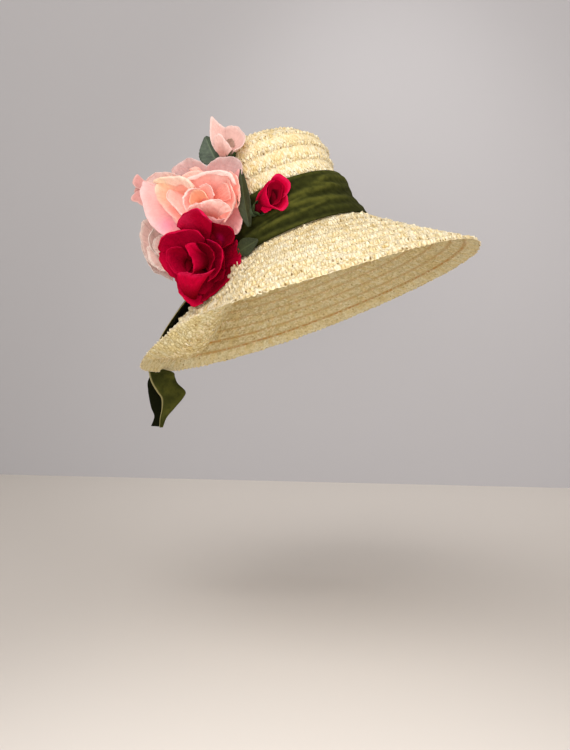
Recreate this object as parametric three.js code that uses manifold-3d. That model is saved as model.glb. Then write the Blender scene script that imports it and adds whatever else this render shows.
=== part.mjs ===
// Wide-brim hat sewn from straw braid, with a folded velvet band, one hanging velvet tail
// and a bunch of cloth roses on the wearer's right.
// Millimetres, +Z up. The front of the hat faces -Y and the wearer's left is +X.
// The origin is the centre of the head opening, where the crown meets the brim.
import * as THREE from 'three';
import Module from 'manifold-3d';

const wasm = await Module();
wasm.setup();

// Fit on the head
const TIP_BACK = 20.8; // degrees the front of the hat is raised
const TIP_SIDE = 10; // degrees the wearer's right is lowered

// Crown, outside sizes
const FOOT_HALF_LENGTH = 101; // front to back, at the brim
const FOOT_HALF_WIDTH = 82.5; // side to side, at the brim
const TOP_HALF_LENGTH = 87.9; // where the wall turns into the top
const TOP_HALF_WIDTH = 67.9;
const WALL_HEIGHT = 86.5;
const DOME_HEIGHT = 42.3;
const DOME_POWER = 2.28; // 2 is a plain ellipse, more is squarer
const WALL_HOLLOW = 5.4; // how far the wall bows in at half height
const TOP_LEAN = 0.18; // the top rises towards the wearer's right
const STRAW = 2.5; // thickness of the sewn braid

// Brim, by the angle round the head: +X is 0, the back is 90, the wearer's right is 180
const BRIM_WIDTH = { mean: 105.5, cos1: 2, sin1: 12.5, cos2: -0.5, sin2: -1, cos3: 0, sin3: 0 };
const BRIM_DROP = { mean: 66.8, cos1: -1, sin1: -7, cos2: 1, sin2: 1.5, cos3: -0.5, sin3: -1 };
const BRIM_CURVE = { mean: -0.24, cos1: 0.15, sin1: -0.28, cos2: 0, sin2: 0, cos3: 0, sin3: 0 };
const RIM_LIFT = { height: 14, at: 200, spread: 31 }; // the rim is lifted here
const BRIM_DENT = { depth: 80, at: 178, spread: 23, power: 5 }; // pressed down by the roses
const SEAT = 3.2; // flat strip of the brim under the crown's wall

// Velvet ribbon
const RIBBON_FOOT = 0.6; // lower edge of the band above the head opening
const RIBBON_HEIGHT = 53;
const RIBBON_OFF = 1.2; // middle of the velvet off the crown, between folds
const RIBBON_PUFF = 2.4; // extra at the upper edge, which is turned over
const PUFF_FROM = 0.55; // share of the height where the puff begins
const VELVET = 1.4;
// Long soft folds: where each one is highest, how it climbs round the crown, and its size
const FOLDS = [
  { at: 300, height: 46, climb: 0.02, rise: 2.6, width: 5, reach: 70 },
  { at: 285, height: 34, climb: 0.1, rise: 3.4, width: 5, reach: 55 },
  { at: 262, height: 22, climb: 0.16, rise: 3.6, width: 4.5, reach: 50 },
  { at: 240, height: 12, climb: 0.12, rise: 3.2, width: 4, reach: 45 },
  { at: 20, height: 30, climb: -0.05, rise: 3.2, width: 6, reach: 60 },
  { at: 60, height: 16, climb: 0.08, rise: 3, width: 5, reach: 50 },
  { at: 110, height: 38, climb: -0.06, rise: 3, width: 6, reach: 50 },
];

// The tail lies flat over the brim, from one edge by its middle to the other, by angle and off the braid
const TAIL_LYING = [
  { along: 0.1, edge: 147, edgeOff: 9, turn: 136, turnOff: 11, under: 125, underOff: 9 },
  { along: 0.35, edge: 144, edgeOff: 8, turn: 133, turnOff: 10, under: 122, underOff: 8 },
  { along: 0.65, edge: 136, edgeOff: 5, turn: 126.5, turnOff: 6, under: 117, underOff: 4.5 },
  { along: 0.95, edge: 127, edgeOff: 3.5, turn: 119.5, turnOff: 4, under: 112, underOff: 3 },
];
// Then it hangs plumb from the rim, folded in two along its length:
// drop is below the rim, side is level to the front left, back away from it
const TAIL_FALL = { angle: 119, side: -36.3 };
const TAIL_HANGING = [
  { drop: 9, edge: -11, edgeBack: 1, turn: 13, turnBack: 5, under: 6, underBack: 14 },
  { drop: 17, edge: -8, edgeBack: 0, turn: 22, turnBack: 6, under: -10, underBack: 15 },
  { drop: 27, edge: -2, edgeBack: -1, turn: 30, turnBack: 8, under: -14, underBack: 17 },
  { drop: 35, edge: 3, edgeBack: 0, turn: 29, turnBack: 9, under: -13, underBack: 17 },
  { drop: 48, edge: 3, edgeBack: 1, turn: 17, turnBack: 7, under: -11, underBack: 14 },
  { drop: 59, edge: 1, edgeBack: 0, turn: 9, turnBack: 6, under: -9, underBack: 13 },
  { drop: 71, edge: 0, edgeBack: 1, turn: 4, turnBack: 6, under: -7, underBack: 12 },
];

const GAP = 0.35; // between pieces that touch
const PETAL_GAP = 0.55; // between petals and leaves that touch
const CLOTH = 1.1; // stiffened petals
const LEAF = 1; // waxed leaf cloth
const CUT_DEPTH = 18; // how deep a piece may be trimmed where it lies on the hat

const PETAL_FOOT = 0.6; // width of a petal's foot as a share of its own, by angle
const CORNER_POWER = 2.5; // how late a petal's edge rounds away from its tip
const RUFFLES = 1.1; // waves of the ruffle from one edge of a petal to its other
const RUFFLE_SHIFT = 2.1; // radians that the ruffle moves on from one petal to the next

// Petals: at is the direction seen from in front, from the right round to the top, half its half-width
// in degrees, foot its distance from the middle, length its own, and it opens from one slope to another.
// count repeats a row evenly. round takes length off the corners, wave is the ruffle, tuck the overlap,
// and lines and bends are its grid across and along.
const OUTER = { count: 1, foot: 7, base: 3, wave: 2, tuck: 2.5, lines: 3, bends: 3 };
const INNER = { foot: 6, base: 5, wave: 1.5, tuck: 3, lines: 4, bends: 2 };
const HEART = { foot: 4, base: 6, wave: 1, tuck: 3, lines: 4, bends: 2 };
const PINK_PETALS = [
  { ...OUTER, at: 160, half: 42, length: 66, from: 48, to: 90, round: 0.12 },
  { ...OUTER, at: 210, half: 34, length: 52, from: 52, to: 96, round: 0.28 },
  { ...OUTER, at: 248, half: 32, length: 46, from: 62, to: 100, round: 0.28 },
  { ...OUTER, at: 308, half: 36, length: 56, from: 62, to: 100, round: 0.25 },
  { ...OUTER, at: 355, half: 34, length: 62, from: 48, to: 92, round: 0.25 },
  { ...OUTER, at: 45, half: 34, length: 50, from: 50, to: 96, round: 0.22 },
  { ...OUTER, at: 100, half: 38, length: 40, from: 48, to: 94, round: 0.16 },
  { ...INNER, at: 0, count: 4, half: 50, length: 42, from: 18, to: 66, round: 0.28 },
  { ...HEART, at: 60, count: 3, half: 64, length: 32, from: 8, to: 36, round: 0.25 },
];
const RED_PETALS = [
  { ...OUTER, at: 92, half: 36, length: 57, from: 42, to: 74, round: 0.3 },
  { ...OUTER, at: 27, half: 38, length: 64, from: 40, to: 78, round: 0.25 },
  { ...OUTER, at: 147, half: 36, length: 48, from: 42, to: 84, round: 0.25 },
  { ...OUTER, at: 203, half: 36, length: 42, from: 44, to: 90, round: 0.28 },
  { ...OUTER, at: 264, half: 32, length: 54, from: 46, to: 88, round: 0.4 },
  { ...OUTER, at: 320, half: 38, length: 48, from: 44, to: 88, round: 0.3 },
  { ...INNER, at: 40, count: 3, half: 64, length: 42, from: 18, to: 62, round: 0.25 },
  { ...HEART, at: 0, count: 2, half: 96, length: 33, from: 10, to: 32, round: 0.2 },
];
const FADED_PETALS = [
  { ...INNER, at: 12, count: 5, half: 44, base: 2, length: 48, from: 34, to: 70, round: 0.25 },
  { ...HEART, at: 70, count: 3, half: 60, base: 4, length: 38, from: 12, to: 48, round: 0.3 },
];
const BUD = { foot: 3, base: 0, wave: 1, tuck: 2, lines: 4, bends: 3 };
const SIDE_BUD_PETALS = [
  { ...BUD, at: 62, count: 4, half: 44, foot: 2, length: 34, from: 34, to: 24, round: 0.5, lines: 2 },
];
const PALE_BUD_PETALS = [
  { ...BUD, at: 205, count: 1, half: 66, length: 43, from: 32, to: 12, round: 0.6 },
  { ...BUD, at: 15, count: 1, half: 70, length: 33, from: 48, to: 22, round: 0.3 },
  { ...BUD, at: 268, count: 1, half: 72, length: 31, from: 32, to: 10, round: 0.25 },
];
const RED_BUD_PETALS = [
  { ...BUD, at: 0, count: 5, half: 40, length: 35, from: 16, to: 44, round: 0.22, lines: 2, bends: 2 },
];
const SEPAL = { foot: 2.5, base: -8, wave: 0, tuck: 0, lines: 2, bends: 2 };
const CALYX_PETALS = [
  { ...SEPAL, at: 15, count: 5, half: 30, length: 19, from: 70, to: 16, round: 0.6 },
];

// Where each flower is sewn: angle and level on the crown, off its wall, and the way it faces
const SEATS = {
  pink_rose: { angle: 170.6, level: 0.84, off: 11, azimuth: 211, lift: 2, roll: 8 },
  red_rose: { angle: 161, level: 0.18, off: 14, azimuth: 201.5, lift: 0, roll: 6 },
  faded_rose: { angle: 139, level: 0.73, off: 45, azimuth: 160, lift: 10, roll: 0 },
  side_bud: { angle: 146, level: 1.1, off: 46, azimuth: 155, lift: 26, roll: 0 },
  pale_rosebud: { angle: 204, level: 1.14, off: 6, azimuth: 254, lift: 62, roll: 0 },
  red_rosebud: { angle: 213, level: 0.39, off: 11, azimuth: 281, lift: 0, roll: 0 },
};
// The knob behind the petals: half its length, how far its middle lies behind them, and its stem
const HIP = { radius: 10, long: 9, behind: 0, stem: 0 };
const FADED_HIP = { radius: 10, long: 9, behind: 0, stem: 54 };
const BUD_HIP = { radius: 4.2, long: 5, behind: 0, stem: 0 };
const SIDE_BUD_HIP = { radius: 4.2, long: 5, behind: 0, stem: 58 };
const CALYX_HIP = { radius: 4.2, long: 4, behind: 9, stem: 0 };
const STEM = 2.2; // radius of a wrapped stem

// Leaves, from stalk to tip along the crown and off its wall, and the half-width
const LEAVES = {
  leaf_top: { from: [192, 1.09, 4], to: [191, 1.4, 20], half: 13, arch: 4, fold: 4, turn: 20 },
  leaf_long: { from: [202.3, 0.245, 7], to: [209, 0.925, 7], half: 7, arch: 3, fold: 1.5, turn: 0 },
  leaf_small: { from: [190.5, 0.045, 8], to: [206.8, 0.05, 8], half: 8, arch: 1.5, fold: 1.5, turn: 0 },
  leaf_back: { from: [135, 0.02, 14], to: [137, 0.35, 58], half: 11, arch: 6, fold: 3, turn: 0 },
};

const LEAF_END = 0.8; // half-width of a leaf's two ends
const LEAF_CUT = 0.02; // share of a leaf's length missing at each end
const LEAF_BELLY = 0.8; // under 1, a leaf is widest past its middle

// Grid lines across the brim, the seat first, and up the band
const BRIM_LINES = [-1, 0, 0.18, 0.36, 0.53, 0.69, 0.82, 0.92, 1];
const BAND_LINES = [0, 0.18, 0.36, 0.54, 0.72, 0.88, 1];
const CROWN_SIDES = 32;
const CROWN_WALL_LINES = 4;
const CROWN_TOP_LINES = 5;
const BRIM_CLOSE_SIDES = 13; // where it is pressed down
const BRIM_OTHER_SIDES = 24;
const TAIL_GRID = { across: 8, along: 14 };
const LEAF_GRID = { across: 2, along: 5 };
const KNOB_GRID = { round: 8, down: 6 };
const STEM_SIDES = 6;
const EDGE = 0.002; // how far inside a surface's end its normal is taken

const rad = THREE.MathUtils.degToRad;

/** Value of a wave table at an angle round the head. */
function around(table, angle) {
  let value = table.mean;
  for (const n of [1, 2, 3]) {
    value += table[`cos${n}`] * Math.cos(n * angle) + table[`sin${n}`] * Math.sin(n * angle);
  }
  return value;
}

/** A smooth bump, 1 at the middle, with the spread in degrees. */
function bump(angle, at, spread) {
  const off = THREE.MathUtils.euclideanModulo(angle - rad(at) + Math.PI, 2 * Math.PI) - Math.PI;
  return Math.exp(-((off / rad(spread)) ** 2));
}

/** A ring of the crown: level 0 to 1 climbs the wall, 1 to 2 closes over the top. */
function crownPoint(angle, level, off) {
  const up = Math.min(level, 1);
  const over = Math.max(level - 1, 0) * Math.PI / 2;
  const bow = WALL_HOLLOW * 4 * up * (1 - up);
  const halfLength = THREE.MathUtils.lerp(FOOT_HALF_LENGTH, TOP_HALF_LENGTH, up) - bow + off;
  const halfWidth = THREE.MathUtils.lerp(FOOT_HALF_WIDTH, TOP_HALF_WIDTH, up) - bow + off;
  const close = Math.cos(over) ** (2 / DOME_POWER);
  const rise = Math.sin(over) ** (2 / DOME_POWER);
  const x = halfWidth * close * Math.cos(angle);
  const y = halfLength * close * Math.sin(angle);
  const z = WALL_HEIGHT * up + (DOME_HEIGHT + off) * rise;
  const share = Math.min(z / (WALL_HEIGHT + DOME_HEIGHT), 1);
  return new THREE.Vector3(x, y, z - TOP_LEAN * x * share ** 2);
}

/** Outward direction, level, from the foot of the crown. */
function outward(angle) {
  const out = new THREE.Vector3(FOOT_HALF_LENGTH * Math.cos(angle), FOOT_HALF_WIDTH * Math.sin(angle), 0);
  return out.normalize();
}

/** Upper face of the brim: along is 0 at the crown and 1 at the rim, and below 0 on the seat. */
function brimPoint(angle, along) {
  const point = crownPoint(angle, 0, 0);
  const out = outward(angle);
  if (along <= 0) {
    return point.addScaledVector(out, SEAT * along);
  }
  const drop = around(BRIM_DROP, angle) - RIM_LIFT.height * bump(angle, RIM_LIFT.at, RIM_LIFT.spread);
  const curve = around(BRIM_CURVE, angle);
  const dent = BRIM_DENT.depth * bump(angle, BRIM_DENT.at, BRIM_DENT.spread);
  point.addScaledVector(out, around(BRIM_WIDTH, angle) * along);
  point.z = -drop * (along * (1 + curve) - curve * along ** 2) - dent * (along - along ** BRIM_DENT.power);
  return point;
}

/** Unit normal of a surface, from its two directions. */
function normalAt(surface, u, v, flip = 1) {
  const step = 1e-3;
  const alongU = surface(u + step, v).sub(surface(u - step, v));
  const alongV = surface(u, v + step).sub(surface(u, v - step));
  return alongU.cross(alongV).normalize().multiplyScalar(flip);
}

/** Two faces of a wall around a middle surface. */
function facesOf(surface, thickness, flip = 1) {
  const side = (u, v, k) => surface(u, v).addScaledVector(normalAt(surface, u, v, flip), k * thickness / 2);
  return [(u, v) => side(u, v, 1), (u, v) => side(u, v, -1)];
}

/**
 * A closed wall between two faces, each a function of u and v.
 * us and vs list the grid lines. With wrap the last u meets the first, and with pole the last v is a point.
 */
function wall(front, back, us, vs, { wrap = false, pole = false } = {}) {
  const positions = [];
  const index = [];
  const rows = vs.length - (pole ? 1 : 0);
  const cols = us.length;
  const at = (face, i, j) => (face * rows + j) * cols + (wrap ? i % cols : i);
  for (const face of [front, back]) {
    for (let j = 0; j < rows; j += 1) {
      for (const u of us) {
        positions.push(...face(u, vs[j]).toArray());
      }
    }
  }
  const quad = (a, b, c, d) => index.push(a, b, c, a, c, d);
  const spans = wrap ? cols : cols - 1;
  for (let i = 0; i < spans; i += 1) {
    for (let j = 0; j < rows - 1; j += 1) {
      quad(at(0, i, j), at(0, i + 1, j), at(0, i + 1, j + 1), at(0, i, j + 1));
      quad(at(1, i, j), at(1, i, j + 1), at(1, i + 1, j + 1), at(1, i + 1, j));
    }
    quad(at(0, i + 1, 0), at(0, i, 0), at(1, i, 0), at(1, i + 1, 0));
    if (!pole) {
      quad(at(0, i, rows - 1), at(0, i + 1, rows - 1), at(1, i + 1, rows - 1), at(1, i, rows - 1));
    }
  }
  if (!wrap) {
    for (let j = 0; j < rows - 1; j += 1) {
      quad(at(0, 0, j), at(0, 0, j + 1), at(1, 0, j + 1), at(1, 0, j));
      quad(at(0, cols - 1, j + 1), at(0, cols - 1, j), at(1, cols - 1, j), at(1, cols - 1, j + 1));
    }
  }
  if (pole) {
    const last = vs[vs.length - 1];
    const tips = [front, back].map((face, k) => {
      positions.push(...face(us[0], last).toArray());
      return 2 * rows * cols + k;
    });
    for (let i = 0; i < spans; i += 1) {
      index.push(at(0, i, rows - 1), at(0, i + 1, rows - 1), tips[0]);
      index.push(at(1, i + 1, rows - 1), at(1, i, rows - 1), tips[1]);
    }
  }
  return facingOut(positions, index);
}

/** A geometry with its faces turned to point out of the body. */
function facingOut(positions, index) {
  let volume = 0;
  const corner = (k) => new THREE.Vector3().fromArray(positions, 3 * index[k]);
  for (let k = 0; k < index.length; k += 3) {
    volume += corner(k).dot(corner(k + 1).cross(corner(k + 2)));
  }
  const order = volume < 0 ? [...index].reverse() : index;
  const geometry = new THREE.BufferGeometry();
  geometry.setAttribute('position', new THREE.Float32BufferAttribute(positions, 3));
  geometry.setIndex(order);
  return geometry;
}

/** Evenly spaced grid lines from one value to another, both ends kept. */
function steps(from, to, count) {
  return Array.from({ length: count + 1 }, (_, k) => THREE.MathUtils.lerp(from, to, k / count));
}

/** Grid lines round a full turn, without repeating the first. */
function turn(count) {
  return steps(0, 2 * Math.PI, count).slice(0, count);
}

/** The solid that manifold-3d joins and cuts, from a closed geometry. */
function toSolid(geometry) {
  return new wasm.Manifold(new wasm.Mesh({
    numProp: 3,
    vertProperties: new Float32Array(geometry.getAttribute('position').array),
    triVerts: new Uint32Array(geometry.getIndex().array),
  }));
}

/** The geometry of a solid, keeping only its largest connected body. */
function toGeometry(solid) {
  const mesh = solid.getMesh();
  const parent = Array.from({ length: mesh.vertProperties.length / mesh.numProp }, (_, k) => k);
  const root = (k) => {
    let top = k;
    while (parent[top] !== top) {
      parent[top] = parent[parent[top]];
      top = parent[top];
    }
    return top;
  };
  const corners = Array.from(mesh.triVerts);
  for (let k = 0; k < corners.length; k += 3) {
    parent[root(corners[k + 1])] = root(corners[k]);
    parent[root(corners[k + 2])] = root(corners[k]);
  }
  const count = new Map();
  for (const k of corners) {
    count.set(root(k), (count.get(root(k)) ?? 0) + 1);
  }
  const largest = [...count.entries()].sort((a, b) => b[1] - a[1])[0][0];
  const kept = corners.filter((k) => root(k) === largest);
  const renumber = new Map();
  const positions = [];
  const index = kept.map((k) => {
    if (!renumber.has(k)) {
      renumber.set(k, renumber.size);
      positions.push(...mesh.vertProperties.slice(mesh.numProp * k, mesh.numProp * k + 3));
    }
    return renumber.get(k);
  });
  return facingOut(positions, index);
}

/** Joins solids into one. */
function joined(solids) {
  return solids.reduce((sum, next) => sum.add(next));
}

function crown() {
  const levels = [...steps(GAP / WALL_HEIGHT, 1, CROWN_WALL_LINES), ...steps(1, 2, CROWN_TOP_LINES).slice(1)];
  const outer = (angle, level) => crownPoint(angle, level, 0);
  const inner = (angle, level) => {
    const point = crownPoint(angle, level, -STRAW);
    point.z = Math.max(point.z, GAP);
    return point;
  };
  return wall(outer, inner, turn(CROWN_SIDES), levels, { wrap: true, pole: true });
}

/** Grid angles round the brim, closer together where it is pressed down. */
function brimAngles() {
  const from = rad(BRIM_DENT.at - 2 * BRIM_DENT.spread);
  const to = rad(BRIM_DENT.at + 2 * BRIM_DENT.spread);
  const others = steps(to, from + 2 * Math.PI, BRIM_OTHER_SIDES).slice(1, BRIM_OTHER_SIDES);
  return [...steps(from, to, BRIM_CLOSE_SIDES), ...others];
}

function brim() {
  const under = (angle, along) => brimPoint(angle, along).addScaledVector(normalUp(angle, along), -STRAW);
  return wall(brimPoint, under, brimAngles(), BRIM_LINES, { wrap: true });
}

/** Upward normal of the brim, straight up on the seat. */
function normalUp(angle, along) {
  if (along <= 0) {
    return new THREE.Vector3(0, 0, 1);
  }
  const normal = normalAt(brimPoint, angle, THREE.MathUtils.clamp(along, EDGE, 1 - EDGE));
  return normal.z < 0 ? normal.negate() : normal;
}

/** How far the velvet stands off the crown: the folds and the turned upper edge. */
function velvetOff(angle, share) {
  const height = RIBBON_HEIGHT * share;
  const puffed = Math.max(0, (share - PUFF_FROM) / (1 - PUFF_FROM));
  let off = RIBBON_OFF + RIBBON_PUFF * Math.sqrt(puffed) * (1 - share ** 8 / 2);
  for (const fold of FOLDS) {
    const away = THREE.MathUtils.euclideanModulo(angle - rad(fold.at) + Math.PI, 2 * Math.PI) - Math.PI;
    const crest = fold.height + fold.climb * away * FOOT_HALF_LENGTH;
    const fade = Math.exp(-((away / rad(fold.reach)) ** 2));
    off += fold.rise * fade * Math.exp(-(((height - crest) / fold.width) ** 2));
  }
  return off;
}

/** A point of the velvet band, with the share of its height from its foot and an extra distance out. */
function bandPoint(angle, share, extra) {
  const level = (RIBBON_FOOT + RIBBON_HEIGHT * share) / WALL_HEIGHT;
  return crownPoint(angle, level, velvetOff(angle, share) + extra);
}

function ribbonBand() {
  const front = (angle, share) => bandPoint(angle, share, VELVET / 2);
  const back = (angle, share) => bandPoint(angle, share, -VELVET / 2);
  return wall(front, back, turn(CROWN_SIDES), BAND_LINES, { wrap: true });
}

/** The hat's upright frame: from its own tipped axes to the ones that hang plumb. */
const tip = new THREE.Euler(rad(-TIP_BACK), rad(-TIP_SIDE), 0, 'XYZ');

/** A smooth line through three points, at 0, 0.5 and 1. */
function bent(a, b, c, share) {
  const left = a.clone().multiplyScalar(2 * (share - 0.5) * (share - 1));
  const middle = b.clone().multiplyScalar(4 * share * (1 - share));
  return left.add(middle).addScaledVector(c, 2 * share * (share - 0.5));
}

function ribbonTail() {
  const onBrim = (angle, along, off) => (
    brimPoint(rad(angle), along).addScaledVector(normalUp(rad(angle), along), off).applyEuler(tip)
  );
  const rim = onBrim(TAIL_FALL.angle, 1, 0);
  const side = new THREE.Vector3(Math.cos(rad(TAIL_FALL.side)), Math.sin(rad(TAIL_FALL.side)), 0);
  const back = new THREE.Vector3(-side.y, side.x, 0);
  const hang = (across, away, drop) => (
    rim.clone().addScaledVector(side, across).addScaledVector(back, away).add(new THREE.Vector3(0, 0, -drop))
  );
  const rows = [
    ...TAIL_LYING.map((row) => [
      onBrim(row.edge, row.along, row.edgeOff),
      onBrim(row.turn, row.along, row.turnOff),
      onBrim(row.under, row.along, row.underOff),
    ]),
    ...TAIL_HANGING.map((row) => [
      hang(row.edge, row.edgeBack, row.drop),
      hang(row.turn, row.turnBack, row.drop),
      hang(row.under, row.underBack, row.drop),
    ]),
  ];
  const lines = [0, 1, 2].map((k) => new THREE.CatmullRomCurve3(rows.map((row) => row[k])));
  const surface = (across, along) => {
    const [edge, fold, under] = lines.map((line) => line.getPoint(THREE.MathUtils.clamp(along, 0, 1)));
    return bent(edge, fold, under, across);
  };
  const grid = [steps(0, 1, TAIL_GRID.across), steps(EDGE, 1 - EDGE, TAIL_GRID.along)];
  return wall(...facesOf(surface, VELVET), ...grid);
}

/** A point of one petal, across from -1 to 1 and along from its foot to its tip. */
function petalPoint(row, number, across, along) {
  const reach = along * (1 - row.round * Math.abs(across) ** CORNER_POWER);
  const start = rad(row.from);
  const bend = rad(row.to) - start;
  const slope = start + bend * reach;
  const phase = 2 * Math.PI * RUFFLES * across + RUFFLE_SHIFT * number + row.at;
  const ruffle = row.wave * Math.sin(phase) * reach ** 2;
  const out = row.foot + row.length * (Math.cos(start) - Math.cos(slope)) / bend
    + row.tuck * across * reach + ruffle * Math.cos(slope);
  const up = row.base + row.length * (Math.sin(slope) - Math.sin(start)) / bend - ruffle * Math.sin(slope);
  const half = row.half * THREE.MathUtils.lerp(PETAL_FOOT, 1, along);
  const angle = rad(row.at + 360 * number / row.count + half * across);
  return new THREE.Vector3(out * Math.cos(angle), out * Math.sin(angle), up);
}

/** Where a point on or off the crown's wall is. */
function onCrown(angle, level, off) {
  return crownPoint(rad(angle), level, off);
}

/** The placing of a flower: its face points along the seat's azimuth and lift. */
function seatMatrix(seat) {
  const level = Math.cos(rad(seat.lift));
  const face = new THREE.Vector3(
    level * Math.cos(rad(seat.azimuth)),
    level * Math.sin(rad(seat.azimuth)),
    Math.sin(rad(seat.lift)),
  );
  const right = new THREE.Vector3(0, 0, 1).cross(face).normalize();
  const up = face.clone().cross(right);
  const matrix = new THREE.Matrix4().makeBasis(right, up, face);
  matrix.multiply(new THREE.Matrix4().makeRotationZ(rad(seat.roll)));
  return matrix.setPosition(onCrown(seat.angle, seat.level, seat.off));
}

/** A flower: its petals joined at a knob, with extra cloth all over when grow is set. */
function flower(petals, hip, seat, grow = 0) {
  const knob = new THREE.SphereGeometry(hip.radius + grow, KNOB_GRID.round, KNOB_GRID.down);
  knob.scale(1, 1, hip.long / hip.radius).translate(0, 0, -hip.behind);
  const parts = [toSolid(welded(knob))];
  if (hip.stem > 0) {
    const stem = new THREE.CylinderGeometry(STEM + grow, STEM + grow, hip.stem, STEM_SIDES);
    stem.rotateX(Math.PI / 2).translate(0, 0, -hip.stem / 2);
    parts.push(toSolid(welded(stem)));
  }
  for (const row of petals) {
    for (let number = 0; number < row.count; number += 1) {
      const surface = (across, along) => petalPoint(row, number, across, along);
      const side = 1 + grow / (rad(row.half) * (row.foot + row.length / 2));
      const grid = [steps(-side, side, row.lines), steps(0, 1 + grow / row.length, row.bends)];
      parts.push(toSolid(wall(...facesOf(surface, CLOTH + 2 * grow), ...grid)));
    }
  }
  return joined(parts).transform(seatMatrix(seat).toArray());
}

/** A sphere whose poles and seam are single points, so that it is closed. */
function welded(geometry) {
  const source = geometry.getAttribute('position');
  const found = new Map();
  const positions = [];
  const number = (k) => {
    const point = new THREE.Vector3().fromBufferAttribute(source, k);
    const key = point.toArray().map((value) => Math.round(value * 1e4)).join(' ');
    if (!found.has(key)) {
      found.set(key, found.size);
      positions.push(...point.toArray());
    }
    return found.get(key);
  };
  const corners = Array.from(geometry.getIndex().array, number);
  const index = [];
  for (let k = 0; k < corners.length; k += 3) {
    const [a, b, c] = corners.slice(k, k + 3);
    if (a !== b && b !== c && c !== a) {
      index.push(a, b, c);
    }
  }
  return facingOut(positions, index);
}

/** A leaf between two places on the crown: creased along its rib, pointed at both ends. */
function leaf(row, grow = 0) {
  const from = onCrown(...row.from);
  const to = onCrown(...row.to);
  const along = to.clone().sub(from).normalize();
  const off = outward(rad((row.from[0] + row.to[0]) / 2)).applyAxisAngle(along, rad(row.turn));
  const across = along.clone().cross(off).normalize();
  const lift = across.clone().cross(along).normalize();
  const surface = (s, t) => {
    const full = Math.sin(Math.PI * THREE.MathUtils.clamp(t, 0, 1) ** LEAF_BELLY);
    const half = row.half * full + LEAF_END;
    const rise = row.arch * full + row.fold * (Math.abs(s) - 0.5) * full;
    return from.clone().lerp(to, t).addScaledVector(across, half * s).addScaledVector(lift, rise);
  };
  const side = 1 + grow / row.half;
  const end = LEAF_CUT - grow / from.distanceTo(to);
  const grid = [steps(-side, side, LEAF_GRID.across), steps(end, 1 - end, LEAF_GRID.along)];
  return toSolid(wall(...facesOf(surface, LEAF + 2 * grow), ...grid));
}

/** The hat's own surfaces with the clearance, thick enough to trim what lies on them. */
function hatSolid() {
  const thickCrown = wall(
    (angle, level) => crownPoint(angle, level, GAP),
    (angle, level) => crownPoint(angle, level, -CUT_DEPTH),
    turn(CROWN_SIDES),
    [...steps(0, 1, CROWN_WALL_LINES), ...steps(1, 2, CROWN_TOP_LINES).slice(1)],
    { wrap: true, pole: true },
  );
  const thickBand = wall(
    (angle, share) => bandPoint(angle, share, VELVET / 2 + GAP),
    (angle, share) => bandPoint(angle, share, -CUT_DEPTH),
    turn(CROWN_SIDES),
    BAND_LINES,
    { wrap: true },
  );
  const pastRim = 1 + 2 * GAP / BRIM_WIDTH.mean;
  const thickBrim = wall(
    (angle, along) => brimPoint(angle, along).addScaledVector(normalUp(angle, along), GAP),
    (angle, along) => brimPoint(angle, along).addScaledVector(normalUp(angle, along), -CUT_DEPTH),
    brimAngles(),
    [...BRIM_LINES.slice(0, -1), pastRim],
    { wrap: true },
  );
  return joined([thickCrown, thickBand, thickBrim].map(toSolid));
}

const looks = {
  straw: { color: 0xe6d3a0, roughness: 0.8, metalness: 0 },
  velvet: { color: 0x3b401c, roughness: 0.95, metalness: 0 },
  pink: { color: 0xf0b3a4, roughness: 0.8, metalness: 0 },
  red: { color: 0xb5082e, roughness: 0.8, metalness: 0 },
  faded: { color: 0xd9b8b0, roughness: 0.8, metalness: 0 },
  leaf: { color: 0x4c5a45, roughness: 0.7, metalness: 0 },
};

function piece(name, geometry, look) {
  const mesh = new THREE.Mesh(geometry, new THREE.MeshStandardMaterial(look));
  mesh.name = name;
  return mesh;
}

const hat = new THREE.Group();
hat.add(piece('crown', crown(), looks.straw));
hat.add(piece('brim', brim(), looks.straw));
hat.add(piece('ribbon_band', ribbonBand(), looks.velvet));

// Each flower and leaf is trimmed by the hat and by those already in place, with the gap between them
let taken = hatSolid();
const bouquet = [
  ['red_rose', looks.red, (grow) => flower(RED_PETALS, HIP, SEATS.red_rose, grow)],
  ['pink_rose', looks.pink, (grow) => flower(PINK_PETALS, HIP, SEATS.pink_rose, grow)],
  ['faded_rose', looks.faded, (grow) => flower(FADED_PETALS, FADED_HIP, SEATS.faded_rose, grow)],
  ['side_bud', looks.pink, (grow) => flower(SIDE_BUD_PETALS, SIDE_BUD_HIP, SEATS.side_bud, grow)],
  ['pale_rosebud', looks.pink, (grow) => flower(PALE_BUD_PETALS, BUD_HIP, SEATS.pale_rosebud, grow)],
  ['pale_calyx', looks.leaf, (grow) => flower(CALYX_PETALS, CALYX_HIP, SEATS.pale_rosebud, grow)],
  ['red_rosebud', looks.red, (grow) => flower(RED_BUD_PETALS, BUD_HIP, SEATS.red_rosebud, grow)],
  ['red_calyx', looks.leaf, (grow) => flower(CALYX_PETALS, CALYX_HIP, SEATS.red_rosebud, grow)],
  ['leaf_top', looks.leaf, (grow) => leaf(LEAVES.leaf_top, grow)],
  ['leaf_long', looks.leaf, (grow) => leaf(LEAVES.leaf_long, grow)],
  ['leaf_small', looks.leaf, (grow) => leaf(LEAVES.leaf_small, grow)],
  ['leaf_back', looks.leaf, (grow) => leaf(LEAVES.leaf_back, grow)],
];
for (const [name, look, make] of bouquet) {
  const geometry = toGeometry(make(0).subtract(taken));
  hat.add(piece(name, geometry, look));
  taken = taken.add(make(PETAL_GAP)).add(toSolid(geometry));
}

// On the head the hat is tipped: first the wearer's right goes down, then the front goes up
hat.setRotationFromEuler(tip);

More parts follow.
